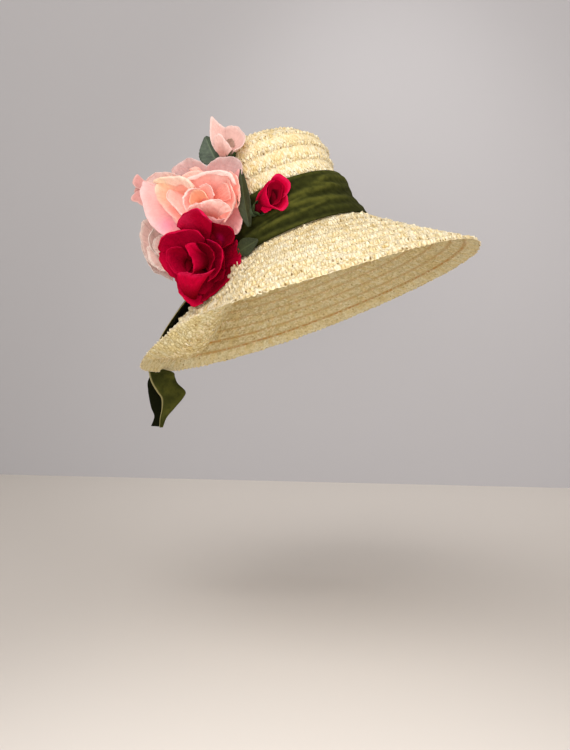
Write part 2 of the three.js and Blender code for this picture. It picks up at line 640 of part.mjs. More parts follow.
const group = new THREE.Group();
group.add(hat);
const tipped = taken.transform(new THREE.Matrix4().makeRotationFromEuler(tip).toArray());
group.add(piece('ribbon_tail', toGeometry(toSolid(ribbonTail()).subtract(tipped)), looks.velvet));

export default group;
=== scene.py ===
"""Looks of the wide-brim straw hat: sewn braid, folded velvet, cloth roses, buds and leaves.

Metres, +Z up. The front of the hat faces -Y and the wearer's left is +X, as in the part's frame.
Angles round the head are in degrees: +X is 0, the back is 90 and the wearer's right is 180.
"""

from __future__ import annotations

import logging
from dataclasses import dataclass, replace
from enum import Enum
from functools import partial
from typing import Callable, NamedTuple

import bmesh
import bpy
import numpy as np
from mathutils import Matrix

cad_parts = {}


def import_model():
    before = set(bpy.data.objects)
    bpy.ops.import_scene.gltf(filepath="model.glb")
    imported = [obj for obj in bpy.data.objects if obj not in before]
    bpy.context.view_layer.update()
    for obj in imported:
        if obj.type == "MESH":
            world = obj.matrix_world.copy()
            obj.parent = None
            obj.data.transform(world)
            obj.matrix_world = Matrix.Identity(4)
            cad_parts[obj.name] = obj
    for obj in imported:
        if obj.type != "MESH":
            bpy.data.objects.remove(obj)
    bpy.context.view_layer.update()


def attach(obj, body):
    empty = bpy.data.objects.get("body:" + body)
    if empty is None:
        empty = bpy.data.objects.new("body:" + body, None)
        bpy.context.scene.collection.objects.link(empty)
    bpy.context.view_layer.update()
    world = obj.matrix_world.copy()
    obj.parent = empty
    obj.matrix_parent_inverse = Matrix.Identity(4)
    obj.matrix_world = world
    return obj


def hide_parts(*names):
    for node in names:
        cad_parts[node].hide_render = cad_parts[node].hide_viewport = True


Array = np.ndarray
Surface = Callable[[Array, Array], Array]
Material = bpy.types.Material
Piece = bpy.types.Object
Socket = bpy.types.NodeSocket
Tree = bpy.types.NodeTree

LOG = logging.getLogger("straw_hat")
MM = 0.001
TURN = 2 * np.pi
CHANCE_TURNS = (127.1, 311.7)
CHANCE_SPREAD = 43758.5453


class Hold(Enum):
    """How a sheet of velvet is held."""

    GATHERED = "gathered"
    HUNG = "hung"


class Slot(Enum):
    """Material slots of the record."""

    STRAW = "straw"
    VELVET = "velvet"
    PINK = "pink_silk"
    RED = "red_silk"
    FADED = "faded_silk"
    LEAF = "leaf_cloth"


def linear(code: str) -> tuple[float, float, float, float]:
    """Linear colour of a screen colour.

    Args:
        code: Six hex digits, red, green and blue.

    Returns:
        Red, green, blue and 1, each from 0 to 1.
    """
    shares = [int(code[k:k + 2], 16) / 255 for k in (0, 2, 4)]
    red, green, blue = (s / 12.92 if s <= 0.04045 else ((s + 0.055) / 1.055) ** 2.4 for s in shares)
    return red, green, blue, 1.0


def colour(code: str) -> Array:
    """Linear red, green and blue of a screen colour, as an array."""
    return np.array(linear(code)[:3])


def smooth(low: float, high: float, value: Array) -> Array:
    """Smooth step: 0 below low, 1 above high, 3x^2 - 2x^3 between."""
    share = np.clip((value - low) / (high - low), 0, 1)
    return share * share * (3 - 2 * share)


def chance(first: Array, second: Array) -> Array:
    """A fixed number from 0 to 1 for each pair: the fraction of a large multiple of a sine."""
    return np.mod(np.sin(first * CHANCE_TURNS[0] + second * CHANCE_TURNS[1]) * CHANCE_SPREAD, 1.0)


def ripple(first: Array, second: Array, seed: float) -> Array:
    """Soft uneven waves: the mean of three crossed sines, each shifted by its own multiple of a seed.

    Args:
        first: Radians along one way.
        second: Radians along the other way.
        seed: Any number, which picks the waves.

    Returns:
        Heights from -1 to 1.
    """
    total = np.sin(first + seed) * np.cos(0.7 * second + 2.1 * seed)
    total = total + np.sin(1.7 * second - 0.6 * first + 3.3 * seed)
    return (total + np.sin(2.3 * first + 1.3 * second + 5.7 * seed)) / 3


def unit(vectors: Array) -> Array:
    """Vectors of length one."""
    return vectors / np.maximum(np.linalg.norm(vectors, axis=-1, keepdims=True), 1e-12)


def normals(surface: Surface, u: Array, v: Array, step: float = 1e-4) -> Array:
    """Unit normals of a surface: the cross product of its two central differences.

    Args:
        surface: Points of two parameters.
        u: The first parameter.
        v: The second one.
        step: Half the length of a difference.

    Returns:
        A unit vector at each point.
    """
    along_u = surface(u + step, v) - surface(u - step, v)
    along_v = surface(u, v + step) - surface(u, v - step)
    return unit(np.cross(along_u, along_v))


def smooth_line(points: Array, share: Array) -> Array:
    """A smooth curve through points in order: Catmull-Rom, with its ends carried straight on.

    Args:
        points: The points, along the first axis.
        share: Places along the curve, from 0 to 1.

    Returns:
        The points at those places.
    """
    spread = np.concatenate([[2 * points[0] - points[1]], points, [2 * points[-1] - points[-2]]])
    place = np.asarray(share) * (len(points) - 1)
    first = np.clip(np.floor(place).astype(int), 0, len(points) - 2)
    t = (place - first).reshape(place.shape + (1,) * (points.ndim - 1))
    p0, p1, p2, p3 = (spread[first + k] for k in range(4))
    return 0.5 * (2 * p1 + (p2 - p0) * t + (2 * p0 - 5 * p1 + 4 * p2 - p3) * t ** 2
                  + (3 * p1 - p0 - 3 * p2 + p3) * t ** 3)


def turned(x: float, y: float) -> Array:
    """The turn that is first about Y and then about X, both in degrees."""
    return np.array(Matrix.Rotation(np.radians(x), 3, "X") @ Matrix.Rotation(np.radians(y), 3, "Y"))


class Wave(NamedTuple):
    """A size that changes round the head: a mean and the first cosines and sines."""

    mean: float
    cos1: float
    sin1: float
    cos2: float
    sin2: float
    cos3: float
    sin3: float

    def at(self, angle: Array) -> Array:
        """The size round the head.

        Args:
            angle: Radians.

        Returns:
            The size at each angle.
        """
        value = self.mean + self.cos1 * np.cos(angle) + self.sin1 * np.sin(angle)
        value = value + self.cos2 * np.cos(2 * angle) + self.sin2 * np.sin(2 * angle)
        return value + self.cos3 * np.cos(3 * angle) + self.sin3 * np.sin(3 * angle)


def bump(angle: Array, at: float, spread: float) -> Array:
    """A bell round the head, exp(-x^2) of the way from a place.

    Args:
        angle: Radians.
        at: Where it is 1, in degrees.
        spread: How far from there it has fallen to 1 / e, in degrees.

    Returns:
        Heights from 0 to 1.
    """
    away = np.mod(angle - np.radians(at) + np.pi, TURN) - np.pi
    return np.exp(-((away / np.radians(spread)) ** 2))


@dataclass(frozen=True)
class HatShape:
    """The straw form that everything is sewn to, in millimetres before it is placed."""

    foot_half_length: float = 101.0
    foot_half_width: float = 82.5
    top_half_length: float = 87.9
    top_half_width: float = 67.9
    wall_height: float = 86.5
    dome_height: float = 42.3
    dome_power: float = 2.28
    wall_hollow: float = 5.4
    top_lean: float = 0.18
    straw: float = 2.5
    seat: float = 3.2
    clearance: float = 0.35
    edge: float = 0.002
    brim_width: Wave = Wave(105.5, 2, 12.5, -0.5, -1, 0, 0)
    brim_drop: Wave = Wave(66.8, -1, -7, 1, 1.5, -0.5, -1)
    brim_curve: Wave = Wave(-0.24, 0.15, -0.28, 0, 0, 0, 0)
    rim_lift: float = 14.0
    rim_lift_at: float = 200.0
    rim_lift_spread: float = 31.0
    dent_depth: float = 80.0
    dent_at: float = 178.0
    dent_spread: float = 23.0
    dent_power: float = 5.0
    tip_back: float = 20.8
    tip_side: float = 10.0

    def crown(self, angle: Array, level: Array, off: Array | float = 0.0) -> Array:
        """A point of the crown.

        The wall is an ellipse that shrinks from foot to top and bows in. Above level 1 the ring
        closes as a superellipse, cos and sin of the way over raised to 2 / dome_power, and the top
        leans up towards the wearer's right.

        Args:
            angle: Radians round the head.
            level: 0 to 1 climbs the wall, 1 to 2 closes over the top.
            off: Distance off the wall, outwards.

        Returns:
            Points in millimetres.
        """
        up = np.minimum(level, 1)
        over = np.maximum(level - 1, 0) * np.pi / 2
        bow = self.wall_hollow * 4 * up * (1 - up)
        length = self.foot_half_length + (self.top_half_length - self.foot_half_length) * up - bow + off
        width = self.foot_half_width + (self.top_half_width - self.foot_half_width) * up - bow + off
        close = np.maximum(np.cos(over), 0) ** (2 / self.dome_power)
        rise = np.maximum(np.sin(over), 0) ** (2 / self.dome_power)
        x = width * close * np.cos(angle)
        y = length * close * np.sin(angle)
        z = self.wall_height * up + (self.dome_height + off) * rise
        share = np.minimum(z / (self.wall_height + self.dome_height), 1)
        return np.stack(np.broadcast_arrays(x, y, z - self.top_lean * x * share ** 2), axis=-1)

    def outward(self, angle: Array) -> Array:
        """The level way out from the foot of the crown, an ellipse.

        Args:
            angle: Radians round the head.

        Returns:
            Level unit vectors.
        """
        x = self.foot_half_length * np.cos(angle)
        y = self.foot_half_width * np.sin(angle)
        return unit(np.stack([x, y, np.zeros_like(x)], axis=-1))

    def brim(self, angle: Array, along: Array) -> Array:
        """A point of the brim's upper face.

        It goes out from the crown's foot by the width's share and falls by drop times
        t(1 + c) - c t^2, and a dent, a bell round the head times t - t^5, presses it down.

        Args:
            angle: Radians round the head.
            along: 0 at the crown and 1 at the rim; below 0 it lies flat under the wall.

        Returns:
            Points in millimetres.
        """
        angle, along = np.broadcast_arrays(angle, along)
        share = np.maximum(along, 0)
        reach = np.where(along <= 0, self.seat * along, self.brim_width.at(angle) * along)
        foot = self.crown(angle, np.zeros_like(share))
        points = foot + self.outward(angle) * reach[..., None]
        lift = self.rim_lift * bump(angle, self.rim_lift_at, self.rim_lift_spread)
        drop = self.brim_drop.at(angle) - lift
        curve = self.brim_curve.at(angle)
        dent = self.dent_depth * bump(angle, self.dent_at, self.dent_spread)
        fall = drop * (share * (1 + curve) - curve * share ** 2) + dent * (share - share ** self.dent_power)
        points[..., 2] -= fall
        return points

    def brim_normal(self, angle: Array, along: Array) -> Array:
        """The way off the brim's upper face, straight up on the seat.

        Args:
            angle: Radians round the head.
            along: 0 at the crown and 1 at the rim.

        Returns:
            Upward unit normals, taken just inside the brim's two ends.
        """
        angle, along = np.broadcast_arrays(angle, along)
        found = normals(self.brim, angle, np.clip(along, self.edge, 1 - self.edge))
        found = found * np.where(found[..., 2:] < 0, -1, 1)
        return np.where(along[..., None] <= 0, np.array([0.0, 0.0, 1.0]), found)

    def place(self, points: Array) -> Array:
        """Tips points of the upright hat as it is worn, still in millimetres."""
        return points @ turned(-self.tip_back, -self.tip_side).T


HAT = HatShape()


@dataclass
class Skin:
    """A mesh as it is worked out: a grid of points with what is painted on it."""

    points: Array
    closed_round: bool = False
    closed_across: bool = False
    open_rows: tuple[int, ...] = ()
    uv: Array | None = None
    numbers: dict[str, Array] | None = None
    colours: Array | None = None

    def faces(self) -> tuple[Array, Array]:
        """The four-sided faces between neighbours in the grid.

        Returns:
            The corners of each face, and each corner's column and row on the unwrapped grid.
        """
        rows, cols = self.points.shape[:2]
        across = np.arange(cols if self.closed_round else cols - 1)
        down = np.arange(rows if self.closed_across else rows - 1)
        down = down[~np.isin(down, self.open_rows)]
        j, i = np.meshgrid(down, across, indexing="ij")
        grid_j = np.stack([j, j, j + 1, j + 1], axis=-1).reshape(-1, 4)
        grid_i = np.stack([i, i + 1, i + 1, i], axis=-1).reshape(-1, 4)
        corners = (grid_j % rows) * cols + grid_i % cols
        return corners, np.stack([grid_i, grid_j], axis=-1)


def merge_skins(skins: list[Skin]) -> tuple[Array, Array, Array, dict[str, Array], Array | None]:
    """Puts several skins one after another.

    Args:
        skins: The skins, all with the same painted values.

    Returns:
        Points, face corners, corner UVs, numbers by name and colours.
    """
    points, corners, uvs, tints, shift = [], [], [], [], 0
    numbers: dict[str, list[Array]] = {}
    for skin in skins:
        found, places = skin.faces()
        corners.append(found + shift)
        flat = skin.points.reshape(-1, 3)
        points.append(flat)
        if skin.uv is None:
            uvs.append(places.astype(float))
        else:
            rows, cols = skin.uv.shape[:2]
            uvs.append(skin.uv[np.minimum(places[..., 1], rows - 1), np.minimum(places[..., 0], cols - 1)])
        for name, values in (skin.numbers or {}).items():
            numbers.setdefault(name, []).append(np.broadcast_to(values, skin.points.shape[:2]).reshape(-1))
        if skin.colours is not None:
            tints.append(skin.colours.reshape(-1, 3))
        shift += len(flat)
    joined = {name: np.concatenate(values) for name, values in numbers.items()}
    return np.concatenate(points), np.concatenate(corners), np.concatenate(uvs), joined, (
        np.concatenate(tints) if tints else None)


def build_object(name: str, skins: list[Skin], tolerance: float = 1e-6) -> Piece:
    """Makes one smooth object of several skins, in metres.

    Args:
        name: The piece's name.
        skins: Grids in millimetres.
        tolerance: Points nearer than this, in metres, become one, which closes seams and poles.

    Returns:
        The new object, at the origin.
    """
    points, corners, uvs, numbers, tints = merge_skins(skins)
    mesh = bpy.data.meshes.new(name)
    mesh.from_pydata(points * MM, [], corners)
    layer = mesh.uv_layers.new(name="cloth")
    layer.data.foreach_set("uv", uvs.reshape(-1).astype(np.float32))
    for key, values in numbers.items():
        attribute = mesh.attributes.new(key, "FLOAT", "POINT")
        attribute.data.foreach_set("value", values.astype(np.float32))
    if tints is not None:
        attribute = mesh.color_attributes.new("petal_colour", "FLOAT_COLOR", "POINT")
        whole = np.concatenate([tints, np.ones((len(tints), 1))], axis=1)
        attribute.data.foreach_set("color", whole.reshape(-1).astype(np.float32))
    work = bmesh.new()
    work.from_mesh(mesh)
    bmesh.ops.remove_doubles(work, verts=work.verts, dist=tolerance)
    loose = [edge for edge in work.edges if not edge.link_faces]
    bmesh.ops.delete(work, geom=loose, context="EDGES")
    work.to_mesh(mesh)
    work.free()
    mesh.polygons.foreach_set("use_smooth", np.ones(len(mesh.polygons), dtype=bool))
    mesh.update()
    piece = bpy.data.objects.new(name, mesh)
    bpy.context.scene.collection.objects.link(piece)
    return piece


def face_outward(piece: Piece) -> None:
    """Turns the faces of closed bodies to point out.

    Args:
        piece: The piece whose mesh is changed.
    """
    work = bmesh.new()
    work.from_mesh(piece.data)
    bmesh.ops.recalc_face_normals(work, faces=work.faces)
    work.to_mesh(piece.data)
    work.free()


def thicken(piece: Piece, thickness: float) -> None:
    """Gives a sheet its real thickness, the same on both sides of its surface.

    Args:
        piece: The sheet.
        thickness: Millimetres.
    """
    modifier = piece.modifiers.new("thickness", "SOLIDIFY")
    modifier.thickness = thickness * MM
    modifier.offset = 0.0
    modifier.use_even_offset = False
    modifier.use_rim = True


def install(piece: Piece, nodes: list[str]) -> Piece:
    """Makes a piece stand for its CAD nodes and ride with the hat.

    Args:
        piece: The finished piece.
        nodes: The nodes that it stands for.

    Returns:
        The same piece.
    """
    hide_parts(*nodes)
    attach(piece, "root")
    LOG.info("%s: %d faces", piece.name, len(piece.data.polygons))
    return piece


def add_node(tree: Tree, kind: str, inputs: dict | None = None, out: str | int = 0,
             stops: tuple[tuple[float, str], ...] = (), **settings) -> Socket:
    """Adds a node with its settings, values and links.

    Args:
        tree: The material's nodes.
        kind: Blender's name for the node type.
        inputs: A value or another node's output for each input, by name or number.
        out: The output that is wanted, by name or number.
        stops: Places from 0 to 1 and their colours, for a colour ramp.
        **settings: The node's own properties.

    Returns:
        One output of the new node.
    """
    node = tree.nodes.new(kind)
    for key, value in settings.items():
        setattr(node, key, value)
    for key, value in (inputs or {}).items():
        if isinstance(value, Socket):
            tree.links.new(value, node.inputs[key])
        else:
            node.inputs[key].default_value = value
    elements = node.color_ramp.elements if stops else ()
    while len(elements) < len(stops):
        elements.new(0.5)
    for element, (place, code) in zip(elements, stops):
        element.position = place
        element.color = linear(code)
    return node.outputs[out]


# Kinds of node that are used often, and settings of a sum: first times second plus third, from 0 to 1
MATH, MIX, BUMP, NOISE = "ShaderNodeMath", "ShaderNodeMix", "ShaderNodeBump", "ShaderNodeTexNoise"
VORONOI, RAMP, PAINT = "ShaderNodeTexVoronoi", "ShaderNodeValToRGB", "ShaderNodeAttribute"
SUM = {"operation": "MULTIPLY_ADD", "use_clamp": True}
PRODUCT = {"operation": "MULTIPLY"}
# Sockets of a mix of two colours
SHARE, FIRST, SECOND, MIXED = 0, 6, 7, 2
COLOURS = {"out": MIXED, "data_type": "RGBA"}


@dataclass(frozen=True)
class Finish:
    """What the finishes share: a named material with one shader, ready for nodes."""

    name: str

    def start(self, shader: dict) -> tuple[Material, Callable[..., Socket]]:
        """Makes the material.

        Args:
            shader: Plain values for the shader's own sockets, by name.

        Returns:
            The material, and add_node for its nodes.
        """
        material = bpy.data.materials.new(self.name)
        material.use_nodes = True
        for key, value in shader.items():
            material.node_tree.nodes["Principled BSDF"].inputs[key].default_value = value
        return material, partial(add_node, material.node_tree)

    def dress(self, material: Material, links: dict[str, Socket]) -> Material:
        """Links what was worked out to the shader's sockets.

        Args:
            material: The material.
            links: An output for each of the shader's sockets, by name.

        Returns:
            The same material.
        """
        for key, socket in links.items():
            material.node_tree.links.new(socket, material.node_tree.nodes["Principled BSDF"].inputs[key])
        return material


@dataclass(frozen=True)
class StrawFinish(Finish):
    """Split wheat straw, bleached and plaited: dry pale chips with golden ones among them.

    Colour is painted by the height of the braid and of each chip: ochre in the hollows between the
    chips and at their edges, painted shade, and pale cream on the crests, painted highlight. Brown
    specks are painted in some of the gaps and under knobs, painted shade, and scattered as the
    straw's own flecks. Lines of stitches show where rows are sewn together. A chip is a cell of a
    Voronoi pattern, chip by chip_length millimetres, that leans one way on the inner half of a row
    and the other way on the outer half. Even straw has round chips placed by the body instead. The
    chips are drawn a little coarser than real ones, so that they show.
    """

    speck: str
    hollow_shade: str
    body: str
    crest: str
    golden: str
    golden_share: float
    seam: str
    roughness: float = 0.62
    shine: float = 0.35
    chip: float = 2.9
    chip_length: float = 6.6
    chip_depth: float = 1.1
    chip_edge: float = 4.5
    lean: float = 0.7
    calm_share: float = 0.5
    speck_gap: float = 4.6
    speck_size: float = 0.2
    speck_share: float = 0.45
    seam_width: float = 0.12
    even: bool = False

    def chips(self, node: Callable[..., Socket], where: Socket, side: Socket) -> tuple[Socket, ...]:
        """The chips of straw.

        Args:
            node: Adds a node.
            where: Places on the unrolled braid.
            side: 0 on the inner half of a row and 1 on the outer half.

        Returns:
            The distance from a chip's edge, and a number of the chip's own.
        """
        if self.even:
            places = [node("ShaderNodeTexCoord", out="Object")]
            pattern = {"Scale": 0.7 / (self.chip * MM), "Randomness": 1.0}
        else:
            size = (1 / (self.chip * MM), 1 / (self.chip_length * MM), 1.0)
            turns = [{"Vector": where, "Rotation": (0.0, 0.0, lean), "Scale": size}
                     for lean in (self.lean, -self.lean)]
            places = [node("ShaderNodeMapping", turn) for turn in turns]
            pattern = {"Scale": 1.0, "Randomness": 0.8}
        flat = {"voronoi_dimensions": "3D" if self.even else "2D"}
        gaps, lucks = [], []
        for place in places:
            gaps.append(node(VORONOI, {"Vector": place, **pattern}, feature="DISTANCE_TO_EDGE", **flat))
            cell = node(VORONOI, {"Vector": place, **pattern}, "Color", feature="F1", **flat)
            lucks.append(node("ShaderNodeSeparateColor", {0: cell}))
        if self.even:
            return gaps[0], lucks[0]
        return tuple(node(MIX, {"Factor": side, "A": pair[0], "B": pair[1]}, data_type="FLOAT")
                     for pair in (gaps, lucks))

    def build(self) -> Material:
        """Wheat straw, coloured by its chips and by what is painted on the braid: painted shade and
        highlights.

        Returns:
            The material.
        """
        material, node = self.start({"Roughness": self.roughness, "Specular IOR Level": self.shine})
        lean, calm, relief, tone, row, seam, speck = (node(PAINT, out="Fac", attribute_name=key) for key in (
            "lean", "calm", "relief", "tone", "row", "seam", "speck"))
        where = node("ShaderNodeUVMap", uv_map="cloth")
        gap, luck = self.chips(node, where, lean)
        full = node(MATH, {0: gap, 1: self.chip_edge, 2: 0.0}, **SUM)
        still = node(MATH, {0: calm, 1: self.calm_share, 2: 0.0}, **SUM)
        chip = node(MATH, {0: full, 1: still}, operation="MAXIMUM")
        # Darker at the chips' edges and lighter inside them: painted shade and painted highlight
        chip_light = node(MATH, {0: chip, 1: 0.5, 2: -0.25}, **SUM)
        lit = node(MATH, {0: luck, 1: 0.45, 2: chip_light}, **SUM)
        # The painted relief: painted highlight on raised straw, painted shade in its hollows
        raised = node(MATH, {0: relief, 1: 0.75, 2: -0.05}, **SUM)
        height = node(MATH, {0: lit, 1: 1.0, 2: raised}, **SUM)
        # The ramp: painted shade in the hollows, the straw's own colour, painted highlight on the crests
        plain = node(RAMP, {"Fac": height}, stops=((0.05, self.hollow_shade), (0.4, self.body), (0.8, self.crest)))
        gold = node(MATH, {0: tone, 1: self.golden_share, 2: 0.0}, **SUM)
        gilding = {SHARE: gold, FIRST: plain, SECOND: linear(self.golden)}
        warm = node(MIX, gilding, blend_type="MULTIPLY", **COLOURS)
        away = node(MATH, {0: row, 1: 0.5}, operation="PINGPONG")
        line = node(MATH, {0: away, 1: -1 / self.seam_width, 2: 1.0}, **SUM)
        thread = node(MATH, {0: luck, 1: 1.2, 2: 0.25}, **SUM)
        beads = node(MATH, {0: line, 1: thread}, **PRODUCT)
        stitched = node(MATH, {0: beads, 1: seam}, **PRODUCT)
        seamed = node(MIX, {SHARE: stitched, FIRST: warm, SECOND: linear(self.seam)}, **COLOURS)
        spot = node(VORONOI, {"Vector": where, "Scale": 1 / (self.speck_gap * MM), "Randomness": 1.0},
                    voronoi_dimensions="2D")
        near = node(MATH, {0: spot, 1: -9.0, 2: 1.0 + 9 * (self.speck_size - 0.1)}, **SUM)
        pick = node("ShaderNodeSeparateColor", {0: spot.node.outputs["Color"]}, 1)
        picked = node(MATH, {0: pick, 1: 3.0, 2: 3 * self.speck_share - 3}, **SUM)
        kept = node(MATH, {0: calm, 1: -1.0, 2: picked}, **SUM)
        chosen = node(MATH, {0: near, 1: kept}, **PRODUCT)
        # Dark specks: scattered flecks of the straw's own, and painted shade in the braid's gaps
        specks = node(MATH, {0: speck, 1: 0.7, 2: chosen}, **SUM)
        dyed = node(MIX, {SHARE: specks, FIRST: seamed, SECOND: linear(self.speck)}, **COLOURS)
        relieved = node(BUMP, {"Height": chip, "Distance": self.chip_depth * MM, "Strength": 0.9})
        return self.dress(material, {"Base Color": dyed, "Normal": relieved})


@dataclass(frozen=True)
class VelvetFinish(Finish):
    """Olive cotton velvet: near black in the folds, painted shade; dusty green-gold where the pile is
    crushed.
    """

    deep: str
    body: str
    crest: str
    sheen: str
    selvage: str = "A79C6C"
    pile: float = 0.5
    pile_depth: float = 0.25
    mottle: float = 7.0
    glint: float = 0.35

    def build(self) -> Material:
        """Velvet: painted highlight on its fold crests, painted shade between, and the crushed patches of its
        pile.

        Returns:
            The material.
        """
        material, node = self.start({"Roughness": 0.9, "Specular IOR Level": 0.05, "Sheen Roughness": 0.45,
                                     "Sheen Tint": linear(self.sheen)})
        where = node("ShaderNodeTexCoord", out="Object")
        patches, pile = (
            node(NOISE, {"Vector": where, "Scale": 1 / (size * MM), "Detail": detail, "Roughness": 0.6})
            for size, detail in ((self.mottle, 4.0), (self.pile, 2.0)))
        crest, edge = (node(PAINT, out="Fac", attribute_name=key) for key in ("crest", "selvage"))
        crushed = node(MATH, {0: patches, 1: 1.3, 2: 0.32}, **SUM)
        mixed = node(MATH, {0: crest, 1: crushed}, **PRODUCT)
        # A painted sheen: the sheen's weight follows the fold crests, strongest on them
        glint = node(MATH, {0: crest, 1: self.glint, 2: 0.0}, **SUM)
        folded = node(MATH, {0: mixed, 1: 1.0, 2: -0.12}, **SUM)
        height = node(MATH, {0: pile, 1: 0.25, 2: folded}, **SUM)
        # Near black in the folds, olive on the crests: painted shade and painted highlight
        shade = node(RAMP, {"Fac": height}, stops=((0.1, self.deep), (0.5, self.body), (0.95, self.crest)))
        dyed = node(MIX, {SHARE: edge, FIRST: shade, SECOND: linear(self.selvage)}, **COLOURS)
        rough = node(MATH, {0: patches, 1: 5.0, 2: pile}, **SUM)
        relieved = node(BUMP, {"Height": rough, "Distance": self.pile_depth * MM, "Strength": 0.7})
        return self.dress(material, {"Base Color": dyed, "Sheen Weight": glint, "Normal": relieved})


@dataclass(frozen=True)
class PetalFinish(Finish):
    """Dyed silk, stiffened: the dye is painted on each petal, with painted shade at the foot and some
    painted highlights, and streaks, fading and creases break it.

    glow is the strength of an emission of the silk's own colour: a painted glow for the little light
    let through the thin cloth.
    """

    streak: float
    sheen: float
    glow: float = 0.0
    shine: float = 0.15
    streak_size: tuple[float, float] = (1.6, 14.0)
    fade_size: float = 12.0
    weave: float = 0.55
    crease: float = 8.0
    crumple: float = 3.0

    def build(self) -> Material:
        """Silk, its painted dye and painted shade broken by streaks and uneven fading.

        Returns:
            The material.
        """
        material, node = self.start({
            "Roughness": 0.85, "Specular IOR Level": self.shine, "Sheen Weight": self.sheen,
            "Sheen Roughness": 0.5, "Emission Strength": self.glow})
        dye = node(PAINT, out="Color", attribute_name="petal_colour")
        size = tuple(1 / (width * MM) for width in self.streak_size) + (1.0,)
        along = node("ShaderNodeMapping", {"Vector": node("ShaderNodeUVMap", uv_map="cloth"), "Scale": size})
        streaks = node(NOISE, {"Vector": along, "Scale": 1.0, "Detail": 3.0, "Roughness": 0.6})
        body = node("ShaderNodeTexCoord", out="Object")
        fading, threads, creases = (
            node(NOISE, {"Vector": body, "Scale": 1 / (size * MM), "Detail": detail, "Roughness": 0.6})
            for size, detail in ((self.fade_size, 3.0), (self.weave, 1.0), (self.crease, 3.0)))
        faded = node(MATH, {0: fading, 1: self.streak, 2: 0.5 - self.streak}, **SUM)
        level = node(MATH, {0: streaks, 1: self.streak, 2: faded}, **SUM)
        shade = node(RAMP, {"Fac": level}, stops=((0.2, "D0C8C6"), (0.5, "F4F2F1"), (0.8, "FFFFFF")))
        silk = node(MIX, {SHARE: 1.0, FIRST: dye, SECOND: shade}, blend_type="MULTIPLY", **COLOURS)
        ribs = node(MATH, {0: streaks, 1: 0.22, 2: 0.0}, **SUM)
        folds = node(MATH, {0: creases, 1: 0.7, 2: ribs}, **SUM)
        height = node(MATH, {0: threads, 1: 0.08, 2: folds}, **SUM)
        relieved = node(BUMP, {"Height": height, "Distance": self.crumple * MM, "Strength": 1.0})
        # Emission of the silk's own colour: a painted glow for light let through the cloth
        return self.dress(material, {"Base Color": silk, "Emission Color": silk, "Normal": relieved})


@dataclass(frozen=True)
class LeafFinish(Finish):
    """Waxed cotton leaves: a dull blotched green with pale veins and a faint shine."""

    body: str
    pale: str
    vein: str
    blotch: float = 6.0
    weave: float = 0.6
    weave_depth: float = 0.2

    def build(self) -> Material:
        """Waxed cotton, with the veins that are painted on the mesh.

        Returns:
            The material.
        """
        material, node = self.start({"Roughness": 0.5, "Specular IOR Level": 0.4})
        where = node("ShaderNodeTexCoord", out="Object")
        blotches, threads = (
            node(NOISE, {"Vector": where, "Scale": 1 / (size * MM), "Detail": detail, "Roughness": 0.6})
            for size, detail in ((self.blotch, 3.0), (self.weave, 1.0)))
        green = node(RAMP, {"Fac": blotches}, stops=((0.3, self.body), (0.75, self.pale)))
        vein = node(PAINT, out="Fac", attribute_name="vein")
        veined = node(MIX, {SHARE: vein, FIRST: green, SECOND: linear(self.vein)}, **COLOURS)
        relieved = node(BUMP, {"Height": threads, "Distance": self.weave_depth * MM, "Strength": 0.6})
        return self.dress(material, {"Base Color": veined, "Normal": relieved})


def paint(like: Array, **values: Array | float) -> dict[str, Array]:
    """What is painted on a grid of braid.

    Args:
        like: Any array with the shape of the grid.
        **values: relief, tone, seam, row, lean, speck and calm, each 0 where it isn't given.

    Returns:
        An array for each of them.
    """
    names = ("relief", "tone", "seam", "row", "lean", "speck", "calm")
    return {name: values.get(name, 0.0) + np.zeros(like.shape) for name in names}


def stack(parts: list[dict[str, Array]]) -> dict[str, Array]:
    """Puts what is painted on several grids one below another."""
    return {name: np.concatenate([part[name] for part in parts]) for name in parts[0]}


